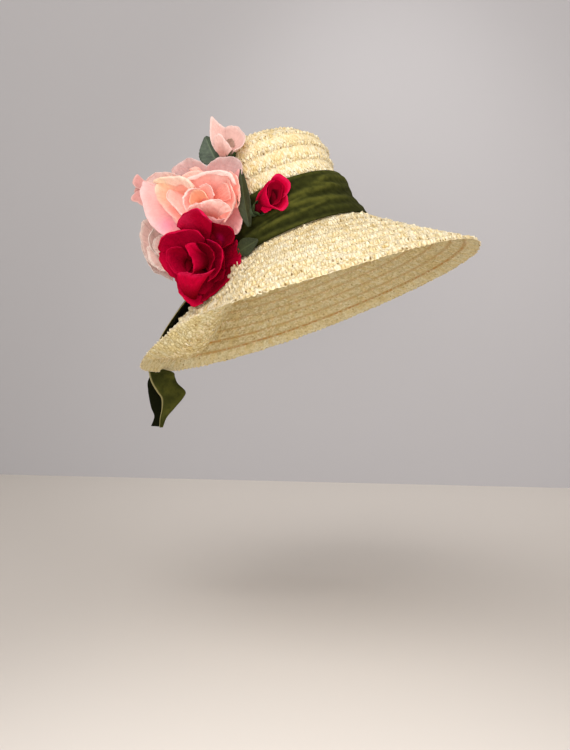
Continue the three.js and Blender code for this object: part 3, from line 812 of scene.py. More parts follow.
@dataclass(frozen=True)
class Plait:
    """How a plaited straw braid stands out of the surface that it is sewn into, in millimetres."""

    cell: float = 5.6
    slants: float = 2.4
    lap: float = 1.0
    knob: float = 1.6
    weave: float = 1.5
    uneven: float = 0.55
    sunk: float = 0.6
    calm: float = 0.0

    def cells(self, girth: Array) -> Array:
        """Whole plaits in a row of a given girth, 5 at least."""
        return np.maximum(np.round(girth / self.cell), 5)

    def relief(self, turn: Array, row: Array,
               girth: Callable[[Array], Array]) -> tuple[Array, dict[str, Array]]:
        """Height of the braid, and what is painted on it.

        Strands cross at two slants, a = u + kw and b = u - kw, and the parity of their whole
        parts picks which one lies on top. Each strand is a sine across, raised to 0.7. The outer
        edge of a row laps over the next one in round knobs. Dark specks are painted in the gaps
        between strands and below some of the knobs, painted shade, and the painted relief is lighter
        on strands and knobs and darker in the hollows, painted highlight and painted shade. Calm
        flattens the middle of each row.

        Args:
            turn: Share of the way round, from 0 to 1.
            row: Rows from the first one, with its fraction across the row.
            girth: Millimetres round at a row number.

        Returns:
            The height in millimetres, and the painted arrays.
        """
        number = np.floor(row)
        across = row - number
        count = self.cells(girth(number + 0.5))
        u = turn * count + 0.37 * number
        a = u + self.slants * across
        b = u - self.slants * across
        over = np.mod(np.floor(a) + np.floor(b), 2) < 0.5
        strand = np.where(over, np.mod(a, 1), np.mod(b, 1))
        other = np.where(over, np.mod(b, 1), np.mod(a, 1))
        straw = np.abs(np.sin(np.pi * strand)) ** 0.7 * (0.6 + 0.4 * np.sin(np.pi * other))
        whole = np.where(over, np.floor(a), np.floor(b))
        luck = chance(np.mod(whole, count), number + np.where(over, 0.0, 7.0))
        edge_luck = chance(np.mod(np.floor(u), count), number + 31.0)
        knobs = np.abs(np.sin(np.pi * u)) ** 1.2
        knobs = knobs * smooth(0.62, 0.82, across) * (1 - smooth(0.94, 1.0, across))
        lapped = smooth(0.0, 0.9, across) * (1 - smooth(0.92, 1.0, across))
        hollow_shade = 1 - smooth(0.0, 0.08, across) * (1 - smooth(0.96, 1.0, across))
        hollow_shade = hollow_shade * (0.35 + 0.65 * edge_luck)
        weave = straw * (1 - self.uneven * luck)
        gap = (1 - np.abs(np.sin(np.pi * strand))) * (1 - np.abs(np.sin(np.pi * other)))
        # Dark specks in the gaps between strands and under knobs: painted shade
        speck = np.maximum(smooth(0.45, 0.8, gap) * (luck > 0.35), hollow_shade * (edge_luck > 0.55))
        still = self.calm * smooth(0.02, 0.14, across) * (1 - smooth(0.5, 0.68, across))
        speck = speck * (1 - still)
        height = self.weave * (1 - 0.7 * still) * (weave - 0.6) + self.lap * (lapped - 0.6)
        height = height - 0.5 * speck - self.sunk
        height = height + self.knob * (knobs - 0.3) * (1 - 0.7 * edge_luck)
        # Lighter on strands and knobs, darker in the hollows: painted highlight and painted shade
        relief = 0.3 + 0.6 * weave + 0.3 * knobs * (1 - edge_luck) - 0.2 * hollow_shade + 0.02 * still
        return height, paint(height, relief=np.clip(relief, 0, 1), tone=luck, lean=smooth(0.4, 0.5, across),
                             speck=speck * (0.4 + 0.6 * edge_luck), calm=still)


@dataclass(frozen=True)
class Crown:
    """The crown: plaited braid sewn round and round from the middle of the top to the foot.

    The pattern's map is unrolled to one length round, and the inner face's to millimetres for
    each radian and each level.
    """

    hat: HatShape = HAT
    plait: Plait = Plait(cell=4.8, knob=2.0, lap=1.4, weave=1.1, uneven=0.7, sunk=1.3, calm=0.85)
    columns: int = 520
    lines: int = 160
    inner_lines: int = 22
    pitch: float = 16.8
    unrolled: float = 520.0
    inner_unrolled: tuple[float, float] = (83.0, 90.0)
    probe: int = 400
    probe_ring: int = 91
    probe_lines: tuple[float, float] = (200.0, 260.0)

    def meridian(self) -> tuple[Array, Array, Array]:
        """Measures the crown from the middle of its top down to its foot.

        Returns:
            Levels, millimetres down from the top and millimetres round, at even steps.
        """
        level = np.linspace(2, 0, self.probe)
        paths = self.hat.crown(np.radians(self.probe_lines)[:, None], level[None])
        length = np.linalg.norm(np.diff(paths, axis=1), axis=-1).mean(0)
        ring = self.hat.crown(np.linspace(0, TURN, self.probe_ring)[:, None], level[None])
        girth = np.linalg.norm(np.diff(ring, axis=0), axis=-1).sum(0)
        return level, np.concatenate([[0], np.cumsum(length)]), girth

    def build(self, straw: Material) -> Piece:
        """The outer face with its braid, and a plain inner face the straw's thickness inside it.

        Args:
            straw: The finish of both faces.

        Returns:
            The piece.
        """
        level, down, girth = self.meridian()
        reach = np.linspace(0, down[-1], self.lines)
        levels = np.interp(reach, down, level)
        levels[-1] = self.hat.clearance / self.hat.wall_height
        turn, reach = np.meshgrid(np.arange(self.columns) / self.columns, reach)
        angle = turn * TURN
        tall = levels[:, None] + 0 * angle
        height, braid = self.plait.relief(turn, reach / self.pitch,
                                          lambda row: np.interp(row * self.pitch, down, girth))
        soft = smooth(0.0, 0.02, 2 - tall) * smooth(0.0, 0.03, tall)
        outer = self.hat.crown(angle, tall, height * soft)
        inner_level, inner_angle = np.meshgrid(np.linspace(levels[-1], 2, self.inner_lines), angle[0],
                                               indexing="ij")
        inner = self.hat.crown(inner_angle, inner_level, -self.hat.straw)
        inner[..., 2] = np.maximum(inner[..., 2], self.hat.clearance)
        uv = np.stack([turn * self.unrolled, reach], axis=-1)
        inner_uv = np.stack([inner_angle, inner_level], axis=-1) * self.inner_unrolled
        uv = np.concatenate([uv, inner_uv]) * MM
        uv = np.concatenate([uv, uv[:, :1] + [self.unrolled * MM, 0]], axis=1)
        painted = stack([braid, paint(inner_angle, relief=0.45, tone=0.4, lean=0.5, calm=1.0)])
        skin = Skin(self.hat.place(np.concatenate([outer, inner])), closed_round=True, closed_across=True,
                    open_rows=(self.lines + self.inner_lines - 1,), uv=uv, numbers=painted)
        piece = build_object("crown_braid", [skin])
        face_outward(piece)
        piece.data.materials.append(straw)
        return install(piece, ["crown"])


class Mark(NamedTuple):
    """A place round the brim, in degrees, and how far it spreads."""

    at: float
    spread: float


@dataclass(frozen=True)
class Brim:
    """The brim: eight rows of braid sewn round the foot of the crown, smoother underneath.

    coarse is where the underside is rough, and is painted darker between its knots, painted shade;
    dim is where it is painted darker away from the rim, painted shade; and dyed are the seams that
    show most there, by the number of their row.
    """

    hat: HatShape = HAT
    plait: Plait = Plait(cell=6.4, slants=2.0, knob=2.6, weave=1.8)
    rows: int = 8
    columns: int = 720
    lines: int = 80
    under_lines: int = 46
    rim_lines: int = 3
    rim_round: float = 1.0
    scallop: float = 2.6
    knot: float = 6.0
    coarse_shaded: Mark = Mark(184, 30)
    painted_shade_at: Mark = Mark(118, 40)
    dyed: tuple[tuple[int, Mark], ...] = ((6, Mark(125, 42)), (7, Mark(20, 70)))
    first_knobs: float = 4.4
    first_pitch: float = 0.056
    first_at: float = 0.05
    first_width: float = 0.02
    unrolled: float = 1000.0
    seat_share: float = 0.03
    rim_step: float = 0.01
    under_from: float = 1.05

    def girth(self, row: Array) -> Array:
        """Millimetres round the brim at a row number."""
        mean = (self.hat.foot_half_length + self.hat.foot_half_width) / 2
        return TURN * (mean + self.hat.brim_width.mean * row / self.rows)

    def top(self, angle: Array) -> tuple[Array, dict[str, Array], Array]:
        """The upper face with its braid. Beside the band lies a first row of taller knobs.

        Args:
            angle: Radians round the head, as one row.

        Returns:
            Points, what is painted on them, and their shares of the way to the rim.
        """
        share = np.linspace(0, 1, self.lines)[:, None] + 0 * angle
        row = share * self.rows
        height, braid = self.plait.relief(angle / TURN + 0 * share, np.minimum(share, 0.9999) * self.rows,
                                          self.girth)
        height = height * smooth(0.0, 0.04, share)
        first = chance(np.floor(angle / self.first_pitch), 0 * angle + 51)
        knobs = np.abs(np.sin(np.pi * angle / self.first_pitch)) ** 0.7 * (0.35 + 0.65 * first)
        beside = np.exp(-((share - self.first_at) / self.first_width) ** 2)
        height = height + self.first_knobs * knobs * beside
        points = self.hat.brim(angle + 0 * share, share)
        points = points + self.hat.brim_normal(angle + 0 * share, share) * height[..., None]
        return points, {**braid, "row": row}, share

    def under(self, angle: Array) -> tuple[Array, dict[str, Array], Array]:
        """The lower face, from the rim inwards: small knots in rings, staggered like bricks.

        The lines of stitches between the rows are left to the finish, which draws one wherever
        the painted row is a whole number.

        Args:
            angle: Radians round the head, as one row.

        Returns:
            Points, what is painted on them, and their shares of the way to the rim.
        """
        share = np.linspace(1, 0, self.under_lines)[:, None] + 0 * angle
        row = share * self.rows
        number = np.round(row)
        strip = share * self.hat.brim_width.mean / self.knot
        ring = np.floor(strip)
        cells = np.round(self.girth(ring * self.knot / self.hat.brim_width.mean * self.rows) / self.knot)
        u = angle / TURN * cells + 0.5 * np.mod(ring, 2)
        luck = chance(np.mod(np.floor(u), cells), ring + 11)
        knots = np.abs(np.sin(np.pi * u) * np.sin(np.pi * strip)) * (0.3 + 0.7 * luck)
        coarse_shaded = bump(angle, *self.coarse_shaded)
        rim = smooth(0.86, 0.95, share)
        height = smooth(0.0, 0.04, share) * ((0.9 + 1.0 * coarse_shaded) * (knots - 0.35) - 0.1)
        points = self.hat.brim(angle + 0 * share, share)
        down = self.hat.brim_normal(angle + 0 * share, share) * -1
        points = points + down * (self.hat.straw + height)[..., None]
        strong = sum(bump(angle, *place) * (number == seam) for seam, place in self.dyed)
        # Painted highlight on the knots, lighter towards the rim, painted shade between knots and on one side
        relief = 0.32 + 0.3 * knots + 0.15 * rim - (0.3 - 0.3 * knots) * coarse_shaded
        relief = relief - 0.35 * bump(angle, *self.painted_shade_at) * (1 - rim)
        seam = np.clip(0.55 + 0.7 * strong - 0.4 * coarse_shaded, 0, 1) * (share < 0.97)
        painted = paint(share, relief=np.clip(relief, 0, 1), tone=luck, seam=seam, row=row, lean=0.5)
        return points, painted, share

    def rim(self, angle: Array, above: Array, below: Array) -> tuple[Array, dict[str, Array]]:
        """The rounded edge between the two faces, scalloped by the knobs of the last row.

        Each of its lines is a step of a half circle, cos from face to face and sin outwards.

        Args:
            angle: Radians round the head, as one row.
            above: The last row of the upper face.
            below: The first row of the lower face.

        Returns:
            Points, and what is painted on them.
        """
        out = unit(self.hat.brim(angle, np.full_like(angle, 1.0))
                   - self.hat.brim(angle, np.full_like(angle, 1 - self.rim_step)))
        place = angle / TURN * self.plait.cells(self.girth(np.array(self.rows)))
        knobs = np.abs(np.sin(np.pi * place)) ** 1.3
        reach = self.rim_round + self.scallop * knobs * (0.15 + 0.85 * chance(np.floor(place), 3.0))
        middle, half = (above + below) / 2, (above - below) / 2
        points = [middle + half * np.cos(step) + out * (reach * np.sin(step))[..., None]
                  for step in np.linspace(0, np.pi, self.rim_lines + 2)[1:-1]]
        # Lighter on the knobs, painted highlight, with dark specks between them, painted shade
        painted = paint(knobs, relief=0.7 + 0.25 * knobs, tone=chance(np.floor(place), 5.0), row=self.rows,
                        lean=0.5, speck=0.5 * smooth(0.7, 1.0, 1 - knobs))
        return np.concatenate(points), stack([painted] * self.rim_lines)

    def build(self, straw: Material, shaded: Material) -> Piece:
        """Both faces, the rounded rim between them and the flat seat under the crown.

        Args:
            straw: The finish of the upper face and the rim.
            shaded: The finish of the underside.

        Returns:
            The piece.
        """
        angle = (np.arange(self.columns) / self.columns * TURN)[None]
        top, top_paint, top_share = self.top(angle)
        under, under_paint, under_share = self.under(angle)
        rim, rim_paint = self.rim(angle, top[-1:], under[:1])
        seat = self.hat.brim(angle, np.full_like(angle, -1.0))
        points = np.concatenate([seat, top, rim, under, seat - [0, 0, self.hat.straw]])
        first = {name: values[:1] for name, values in top_paint.items()}
        last = {name: values[-1:] for name, values in under_paint.items()}
        rim_share = 1 + self.rim_step * np.arange(1, self.rim_lines + 1)
        turned_under = self.under_from + 1 - under_share[:, 0]
        across = np.concatenate([[-self.seat_share], top_share[:, 0], rim_share, turned_under,
                                 turned_under[-1:] + self.seat_share])
        turn = np.arange(self.columns + 1) / self.columns
        uv = np.stack(np.meshgrid(turn * self.unrolled, across * self.hat.brim_width.mean), axis=-1) * MM
        skin = Skin(self.hat.place(points), closed_round=True, closed_across=True, uv=uv,
                    numbers=stack([first, top_paint, rim_paint, under_paint, last]))
        piece = build_object("brim_braid", [skin])
        piece.data.materials.append(straw)
        piece.data.materials.append(shaded)
        self.dress(piece)
        face_outward(piece)
        return install(piece, ["brim"])

    def dress(self, piece: Piece) -> None:
        """Gives the faces of the underside their own finish, by their place in the grid.

        Args:
            piece: The brim, with the finish of its underside as its second material.
        """
        rows = self.lines + self.rim_lines + self.under_lines + 2
        order = np.repeat(np.arange(rows), self.columns)
        chosen = (order > self.lines + self.rim_lines - 1).astype(np.int32)
        piece.data.polygons.foreach_set("material_index", chosen[:len(piece.data.polygons)])


class Fold(NamedTuple):
    """A long soft fold of the band: its place, its climb round the crown and its size."""

    at: float
    height: float
    climb: float
    rise: float
    width: float
    reach: float


@dataclass(frozen=True)
class VelvetBand:
    """The wide velvet band, gathered round the crown in long soft folds, its top edge turned over."""

    hat: HatShape = HAT
    foot: float = 0.6
    height: float = 53.0
    off: float = 1.2
    puff: float = 2.4
    puff_from: float = 0.55
    velvet: float = 1.4
    columns: int = 420
    lines: int = 72
    wrinkle: float = 0.55
    wrinkles: float = 26.0
    wrinkle_width: float = 2.6
    folds: tuple[Fold, ...] = (
        Fold(at=292, height=45, climb=0.02, rise=2.2, width=4.0, reach=40),
        Fold(at=262, height=42, climb=0.20, rise=1.6, width=3.0, reach=9),
        Fold(at=250, height=33.2, climb=0.02, rise=3.0, width=3.6, reach=34),
        Fold(at=246, height=22.6, climb=-0.06, rise=3.2, width=3.4, reach=40),
        Fold(at=222, height=14.4, climb=0.03, rise=3.2, width=3.2, reach=26),
        Fold(at=262, height=9.0, climb=-0.02, rise=1.6, width=3.0, reach=24),
        Fold(at=225, height=2.6, climb=-0.05, rise=2.4, width=2.6, reach=36),
        Fold(at=236, height=27.5, climb=0.09, rise=1.8, width=1.6, reach=13),
        Fold(at=266, height=36.5, climb=-0.16, rise=1.6, width=1.7, reach=12),
        Fold(at=215, height=19.5, climb=0.12, rise=1.7, width=1.6, reach=12),
        Fold(at=252, height=16.5, climb=0.10, rise=1.5, width=1.5, reach=14),
        Fold(at=20, height=30, climb=-0.05, rise=3.0, width=5.0, reach=60),
        Fold(at=60, height=16, climb=0.08, rise=2.8, width=4.2, reach=50),
        Fold(at=110, height=38, climb=-0.06, rise=2.8, width=5.0, reach=50),
        Fold(at=150, height=22, climb=0.05, rise=2.6, width=4.2, reach=40),
        Fold(at=340, height=14, climb=0.06, rise=2.6, width=4.0, reach=36),
    )

    def folded(self, angle: Array, height: Array) -> Array:
        """Height of the folds: each is a bell across, exp(-x^2), fading round the crown.

        Args:
            angle: Radians round the head.
            height: Millimetres above the band's lower edge.

        Returns:
            Millimetres off the crown, over the band's own distance.
        """
        total = np.zeros(np.broadcast_shapes(angle.shape, height.shape))
        for fold in self.folds:
            away = np.mod(angle - np.radians(fold.at) + np.pi, TURN) - np.pi
            crest = fold.height + fold.climb * away * self.hat.foot_half_length
            fade = np.exp(-((away / np.radians(fold.reach)) ** 2))
            total = total + fold.rise * fade * np.exp(-(((height - crest) / fold.width) ** 2))
        return total

    def build(self, velvet: Material) -> Piece:
        """One sheet round the crown: folds, small wrinkles and the rolled upper edge.

        Args:
            velvet: Its finish.

        Returns:
            The piece.
        """
        turn = np.arange(self.columns) / self.columns
        share, angle = np.meshgrid(np.linspace(0, 1, self.lines), turn * TURN, indexing="ij")
        height = self.height * share
        folds = self.folded(angle, height)
        small = ripple(self.wrinkles * angle, height / self.wrinkle_width, 0.4)
        small = small * smooth(0.0, 0.1, share) * (1 - smooth(0.92, 1.0, share))
        puffed = np.clip((share - self.puff_from) / (1 - self.puff_from), 0, 1)
        off = self.off + self.puff * np.sqrt(puffed) * (1 - share ** 8 / 2) + folds + self.wrinkle * small
        level = (self.foot + height) / self.hat.wall_height
        points = self.hat.place(self.hat.crown(angle, level, off))
        # Painted highlight on the folds, the wrinkles and the rolled top edge, painted shade between them
        crest = np.clip(0.3 + 0.14 * folds + 0.08 * small + 0.25 * smooth(0.9, 0.97, share), 0, 1)
        numbers = {"crest": crest, "selvage": 0 * crest}
        piece = build_object("ribbon_band_velvet", [Skin(points, closed_round=True, numbers=numbers)])
        thicken(piece, self.velvet)
        piece.data.materials.append(velvet)
        install(piece, ["ribbon_band"])
        return piece


class Lying(NamedTuple):
    """A row of the tail over the brim: share out to the rim, then angle and height of three lines."""

    along: float
    edge: float
    edge_off: float
    turn: float
    turn_off: float
    under: float
    under_off: float


class Hanging(NamedTuple):
    """A row of the tail below the rim: its drop, then place across and back of three lines."""

    drop: float
    edge: float
    edge_back: float
    turn: float
    turn_back: float
    under: float
    under_back: float


@dataclass(frozen=True)
class VelvetTail:
    """The ribbon's end: flat over the brim, then hanging from the rim folded in two."""

    hat: HatShape = HAT
    velvet: float = 0.7
    fall_angle: float = 119.0
    side: float = -36.3
    columns: int = 48
    lines: int = 130
    lying: tuple[Lying, ...] = (
        Lying(0.1, 147, 9, 136, 11, 125, 9),
        Lying(0.35, 144, 8, 133, 10, 122, 8),
        Lying(0.65, 136, 5, 126.5, 6, 117, 4.5),
        Lying(0.93, 127.5, 4.5, 120, 5, 112.5, 4),
        Lying(1.0, 124.5, 6, 118.5, 7, 112, 6),
    )
    hanging: tuple[Hanging, ...] = (
        Hanging(3, -12, 1, 16, 5, -12, 13),
        Hanging(9, -11, 1, 19, 5, -13, 14),
        Hanging(17, -8, 0, 22, 6, -16, 15),
        Hanging(27, -2, -1, 31, 8, -16, 17),
        Hanging(35, 3, 0, 28, 9, -15, 17),
        Hanging(48, 3, 1, 17, 7, -12, 14),
        Hanging(59, 1, 0, 8, 6, -8, 13),
        Hanging(71, 0, 1, 2.5, 6, -12, 12),
    )

    def rows(self) -> Array:
        """Places the rows of the table on the hat.

        Returns:
            Points in millimetres: every row, then its edge, its turn and its under edge.
        """
        found = []
        for row in self.lying:
            three = []
            lines = ((row.edge, row.edge_off), (row.turn, row.turn_off), (row.under, row.under_off))
            for angle, off in lines:
                at, along = np.radians([angle]), np.array([row.along])
                point = self.hat.brim(at, along) + off * self.hat.brim_normal(at, along)
                three.append(self.hat.place(point)[0])
            found.append(three)
        rim = self.hat.place(self.hat.brim(np.radians([self.fall_angle]), np.array([1.0])))[0]
        side = np.array([np.cos(np.radians(self.side)), np.sin(np.radians(self.side)), 0])
        back = np.array([-side[1], side[0], 0])
        for row in self.hanging:
            pairs = ((row.edge, row.edge_back), (row.turn, row.turn_back), (row.under, row.under_back))
            found.append([rim + side * a + back * b - [0, 0, row.drop] for a, b in pairs])
        return np.array(found)

    def build(self, velvet: Material) -> Piece:
        """A parabola through each row's three points, and a smooth curve from row to row.

        Args:
            velvet: Its finish.

        Returns:
            The piece.
        """
        rows = self.rows()
        share = np.linspace(0, 1, self.lines)
        curve = smooth_line(rows, share)
        across = np.linspace(0, 1, self.columns)[None, :, None]
        edge, turn, under = curve[:, :1], curve[:, 1:2], curve[:, 2:]
        points = edge * 2 * (across - 0.5) * (across - 1) + turn * 4 * across * (1 - across)
        points = points + under * 2 * across * (across - 0.5)
        s, a = np.meshgrid(share * (len(rows) - 1), across[0, :, 0], indexing="ij")
        wrinkle = 0.5 * ripple(6 * a, 1.6 * s, 1.7)
        # Painted highlight on the wrinkles; the back panel is painted near black, painted shade on its inner
        # face
        crest = np.clip(0.32 + 0.02 * s + 0.25 * wrinkle + 0.12 * np.sin(5 * a), 0, 1)
        numbers = {"crest": crest * (1 - smooth(0.5, 0.6, a)), "selvage": 1 - smooth(0.004, 0.016, a)}
        piece = build_object("ribbon_tail_velvet", [Skin(points, numbers=numbers)])
        thicken(piece, self.velvet)
        piece.data.materials.append(velvet)
        install(piece, ["ribbon_tail"])
        return piece


class DyeAndShade(NamedTuple):
    """Colours of a row of petals: at the foot, darker as painted shade, over the middle and along the edge.
    """

    foot: str
    middle: str
    edge: str


class Petals(NamedTuple):
    """A row of petals. Angles in degrees as seen from in front, lengths in millimetres.

    at is the direction of the first, half the half-width, start and end the slope away from the
    flower's axis at foot and tip, trim the length off the corners, wave the ruffle, tuck the
    overlap, curl the extra turn of the rim and dish the lift of the two edges.
    """

    at: float
    half: float
    length: float
    start: float
    end: float
    trim: float
    dye: DyeAndShade
    count: int = 1
    foot: float = 7.0
    base: float = 3.0
    wave: float = 2.0
    tuck: float = 2.5
    curl: float = 50.0
    dish: float = 1.5


class Patch(NamedTuple):
    """One petal by its foot and by points along its rim, in millimetres.

    Each point is across, up and out from the flower's middle. belly is how far the petal stands
    out half way (or sinks, below 0), and lip is the length of the rim that is turned over
    towards the front (or to the back, below 0).
    """

    foot: tuple[float, float, float]
    rim: tuple[tuple[float, float, float], ...]
    belly: float
    lip: float
    dye: DyeAndShade


class Spot(NamedTuple):
    """A soft spot over the dye, some dyed, some painted highlights: its place across and up, spread,
    strength, colour.
    """

    x: float
    y: float
    spread: float
    strength: float
    code: str


@dataclass(frozen=True)
class Seat:
    """Where a flower is sewn on, off the crown's wall, and the way that its face points."""

    angle: float
    level: float
    off: float
    azimuth: float
    lift: float
    roll: float = 0.0

    def matrix(self) -> tuple[Array, Array]:
        """The flower's own axes.

        Returns:
            Right, up and face as columns, rolled about the face, and the place.
        """
        lift, azimuth = np.radians(self.lift), np.radians(self.azimuth)
        face = np.array([np.cos(lift) * np.cos(azimuth), np.cos(lift) * np.sin(azimuth), np.sin(lift)])
        right = unit(np.cross([0, 0, 1], face))
        up = np.cross(face, right)
        roll = np.radians(self.roll)
        across = right * np.cos(roll) + up * np.sin(roll)
        tall = up * np.cos(roll) - right * np.sin(roll)
        place = HAT.crown(np.radians(self.angle), np.array(self.level), self.off)
        return np.stack([across, tall, face], axis=1), place


def dyed(dye: DyeAndShade, foot_share: Array, edge_share: Array) -> Array:
    """Colours of a petal: the foot's, darker as painted shade, over the middle's, and the edge's over both.

    Args:
        dye: The three colours.
        foot_share: How much of the foot's colour there is at each point, from 0 to 1.
        edge_share: How much of the edge's.

    Returns:
        Linear red, green and blue at each point.
    """
    foot, middle, edge = (colour(code) for code in dye)
    found = middle * (1 - foot_share[..., None]) + foot * foot_share[..., None]
    return found * (1 - edge_share[..., None]) + edge * edge_share[..., None]


@dataclass(frozen=True)
class Knob:
    """The wrapped knob that holds the petals, and the stem behind it."""

    radius: float
    long: float
    behind: float = 0.0
    stem: float = 0.0
    stem_radius: float = 2.2


@dataclass(frozen=True)
class Flower:
    """A cloth flower: petals in rows round a knob, or laid one by one, with the knob behind them.

    Where it is viewed, the petals laid one by one are placed in axes that face the view.
    """

    node: str
    slot: Slot
    seat: Seat
    knob: Knob
    knob_colour: str
    rows: tuple[Petals, ...] = ()
    viewed: bool = False
    patches: tuple[Patch, ...] = ()
    spots: tuple[Spot, ...] = ()
    foot_width: float = 7.0
    lip_from: float = 0.7
    lip_turn: float = 2.75
    lip_radius: float = 1.6
    lip_least: float = 0.8
    crumple: float = 0.7
    ragged: tuple[float, float] = (0.8, 0.5)
    columns: int = 26
    lines: int = 20
    patch_columns: int = 34
    patch_lines: int = 30
    cloth: float = 0.7
    foot_share: float = 0.75
    corner_power: float = 2.5
    ruffles: float = 1.1
    ruffle_shift: float = 2.1
    pleat: float = 0.35
    pleats: float = 3.4

    def petal(self, row: Petals, number: int) -> Skin:
        """One petal.

        Its middle line leaves the axis at the slope start and bends evenly to end, and its last
        fifth turns further by curl: out and up are the running sums of the sine and cosine of
        the slope. Away from the middle it is shorter by trim times |s|^corner_power.

        Args:
            row: The row that it belongs to.
            number: Its number in the row.

        Returns:
            The petal as a skin, with its dye and the painted shade at its foot.
        """
        s, t = np.meshgrid(np.linspace(-1, 1, self.columns), np.linspace(0, 1, self.lines))
        luck = float(chance(np.array(row.at), np.array(number + row.length)))
        reach = t * (1 - row.trim * np.abs(s) ** self.corner_power)
        bent = np.radians(row.start + (row.end - row.start) * reach)
        slope = bent + np.radians(row.curl) * (0.6 + 0.8 * luck) * smooth(0.78, 1.0, t) * (0.5 + 0.5 * t)
        step = np.diff(reach, axis=0) * row.length
        middle = (slope[1:] + slope[:-1]) / 2
        zero = np.zeros((1, self.columns))
        out = row.foot + np.concatenate([zero, np.cumsum(step * np.sin(middle), axis=0)])
        up = row.base + np.concatenate([zero, np.cumsum(step * np.cos(middle), axis=0)])
        ruffle = row.wave * np.sin(TURN * self.ruffles * s + self.ruffle_shift * number + row.at) * reach ** 2
        ruffle = ruffle + self.pleat * np.sin(TURN * self.pleats * s + 5 * luck) * reach
        lift = row.dish * np.abs(s) ** 2 * reach
        out = out + row.tuck * s * reach + (ruffle - lift) * np.cos(bent)
        up = up - (ruffle - lift) * np.sin(bent)
        half = row.half * (self.foot_share + (1 - self.foot_share) * t)
        angle = np.radians(row.at + 360 * number / row.count + half * s)
        points = np.stack([out * np.cos(angle), out * np.sin(angle), up], axis=-1)
        edge_share = smooth(0.72, 1.0, np.maximum(t, np.abs(s) * 0.92))
        # Darker towards the foot, painted shade deep in the flower, with the edge colour at the rim
        dye = dyed(row.dye, 1 - smooth(0.0, 0.5, t), edge_share) * (0.94 + 0.12 * luck)
        width = np.radians(row.half) * (row.foot + row.length / 2)
        uv = np.stack([s * width, t * row.length], axis=-1) * MM
        return Skin(points, uv=uv + [luck, luck * 0.37], colours=dye)

    def patch(self, row: Patch, number: int) -> Skin:
        """One petal laid from its listed points.

        The rim is a smooth line through its points. The body goes straight from the foot to the
        rim, plus belly times 4b(1 - b). Past the rim the lip turns over in a small arc and goes
        straight on. Soft ripples and narrow pleats crumple the cloth more towards the rim, which
        is a little ragged.

        Args:
            row: The petal's points and its dye.
            number: Its number, which changes the crumpling.

        Returns:
            The petal as a skin, with its dye and the painted shade at its foot.
        """
        s, t = np.meshgrid(np.linspace(0, 1, self.patch_columns), np.linspace(0, 1, self.patch_lines))
        face = np.array([0.0, 0.0, 1.0])
        ends = np.array(row.rim, dtype=float)
        rim = smooth_line(ends, s)
        root = np.array(row.foot) + unit(ends[-1] - ends[0]) * ((s - 0.5) * self.foot_width)[..., None]
        share = np.minimum(t / self.lip_from, 1)
        body = share[..., None]
        points = root + (rim - root) * body + face * row.belly * 4 * body * (1 - body)
        away = unit(rim - root - face * row.belly * 4)
        side = face * (1 if row.lip >= 0 else -1)
        side = unit(side - away * (away @ side)[..., None])
        uneven = (0.8 + 0.4 * ripple(7 * s, 0 * s, number + 0.5)) * np.sin(np.pi * s) ** 0.35
        length = max(abs(row.lip), self.lip_least) * uneven
        length = length * np.maximum(t - self.lip_from, 0) / (1 - self.lip_from)
        over = np.minimum(length / self.lip_radius, self.lip_turn)
        rest = np.maximum(length - self.lip_radius * self.lip_turn, 0)
        up = self.lip_radius * np.sin(over) + rest * np.cos(self.lip_turn)
        ahead = self.lip_radius * (1 - np.cos(over)) + rest * np.sin(self.lip_turn)
        soft, fine = self.ragged
        up = up + soft * ripple(11 * s, 0 * s, 2.2 * number) * share ** 6
        up = up + fine * ripple(31 * s, 0 * s, 1.7 * number) * share ** 6
        wave = ripple(6 * s, 4 * t, 1.3 * number) * share
        wave = wave + 0.25 * np.sin(TURN * 6 * s + 3 * number) * share ** 2
        wave = wave + 0.4 * ripple(15 * s + 4 * t, 9 * t - 5 * s, 2.1 * number) * share
        points = points + away * up[..., None] + side * ahead[..., None]
        points = points + face * (self.crumple * wave)[..., None]
        # Darker towards the foot, painted shade deep in the flower, with the edge colour at the rim
        dye = dyed(row.dye, 1 - smooth(0.1, 0.75, share), smooth(0.9, 1.0, share))
        # Spots of another colour over the dye: some dyed, some painted highlights
        for spot in self.spots:
            far = (points[..., 0] - spot.x) ** 2 + (points[..., 1] - spot.y) ** 2
            here = spot.strength * np.exp(-far / spot.spread ** 2) * smooth(0.2, 0.8, share)
            dye = dye * (1 - here[..., None]) + colour(spot.code) * here[..., None]
        width = np.linalg.norm(ends[-1] - ends[0])
        tall = np.linalg.norm(ends.mean(axis=0) - np.array(row.foot))
        uv = np.stack([s * width, t * tall], axis=-1) * MM
        return Skin(points, uv=uv + [0.11 * number, 0.07 * number], colours=dye)

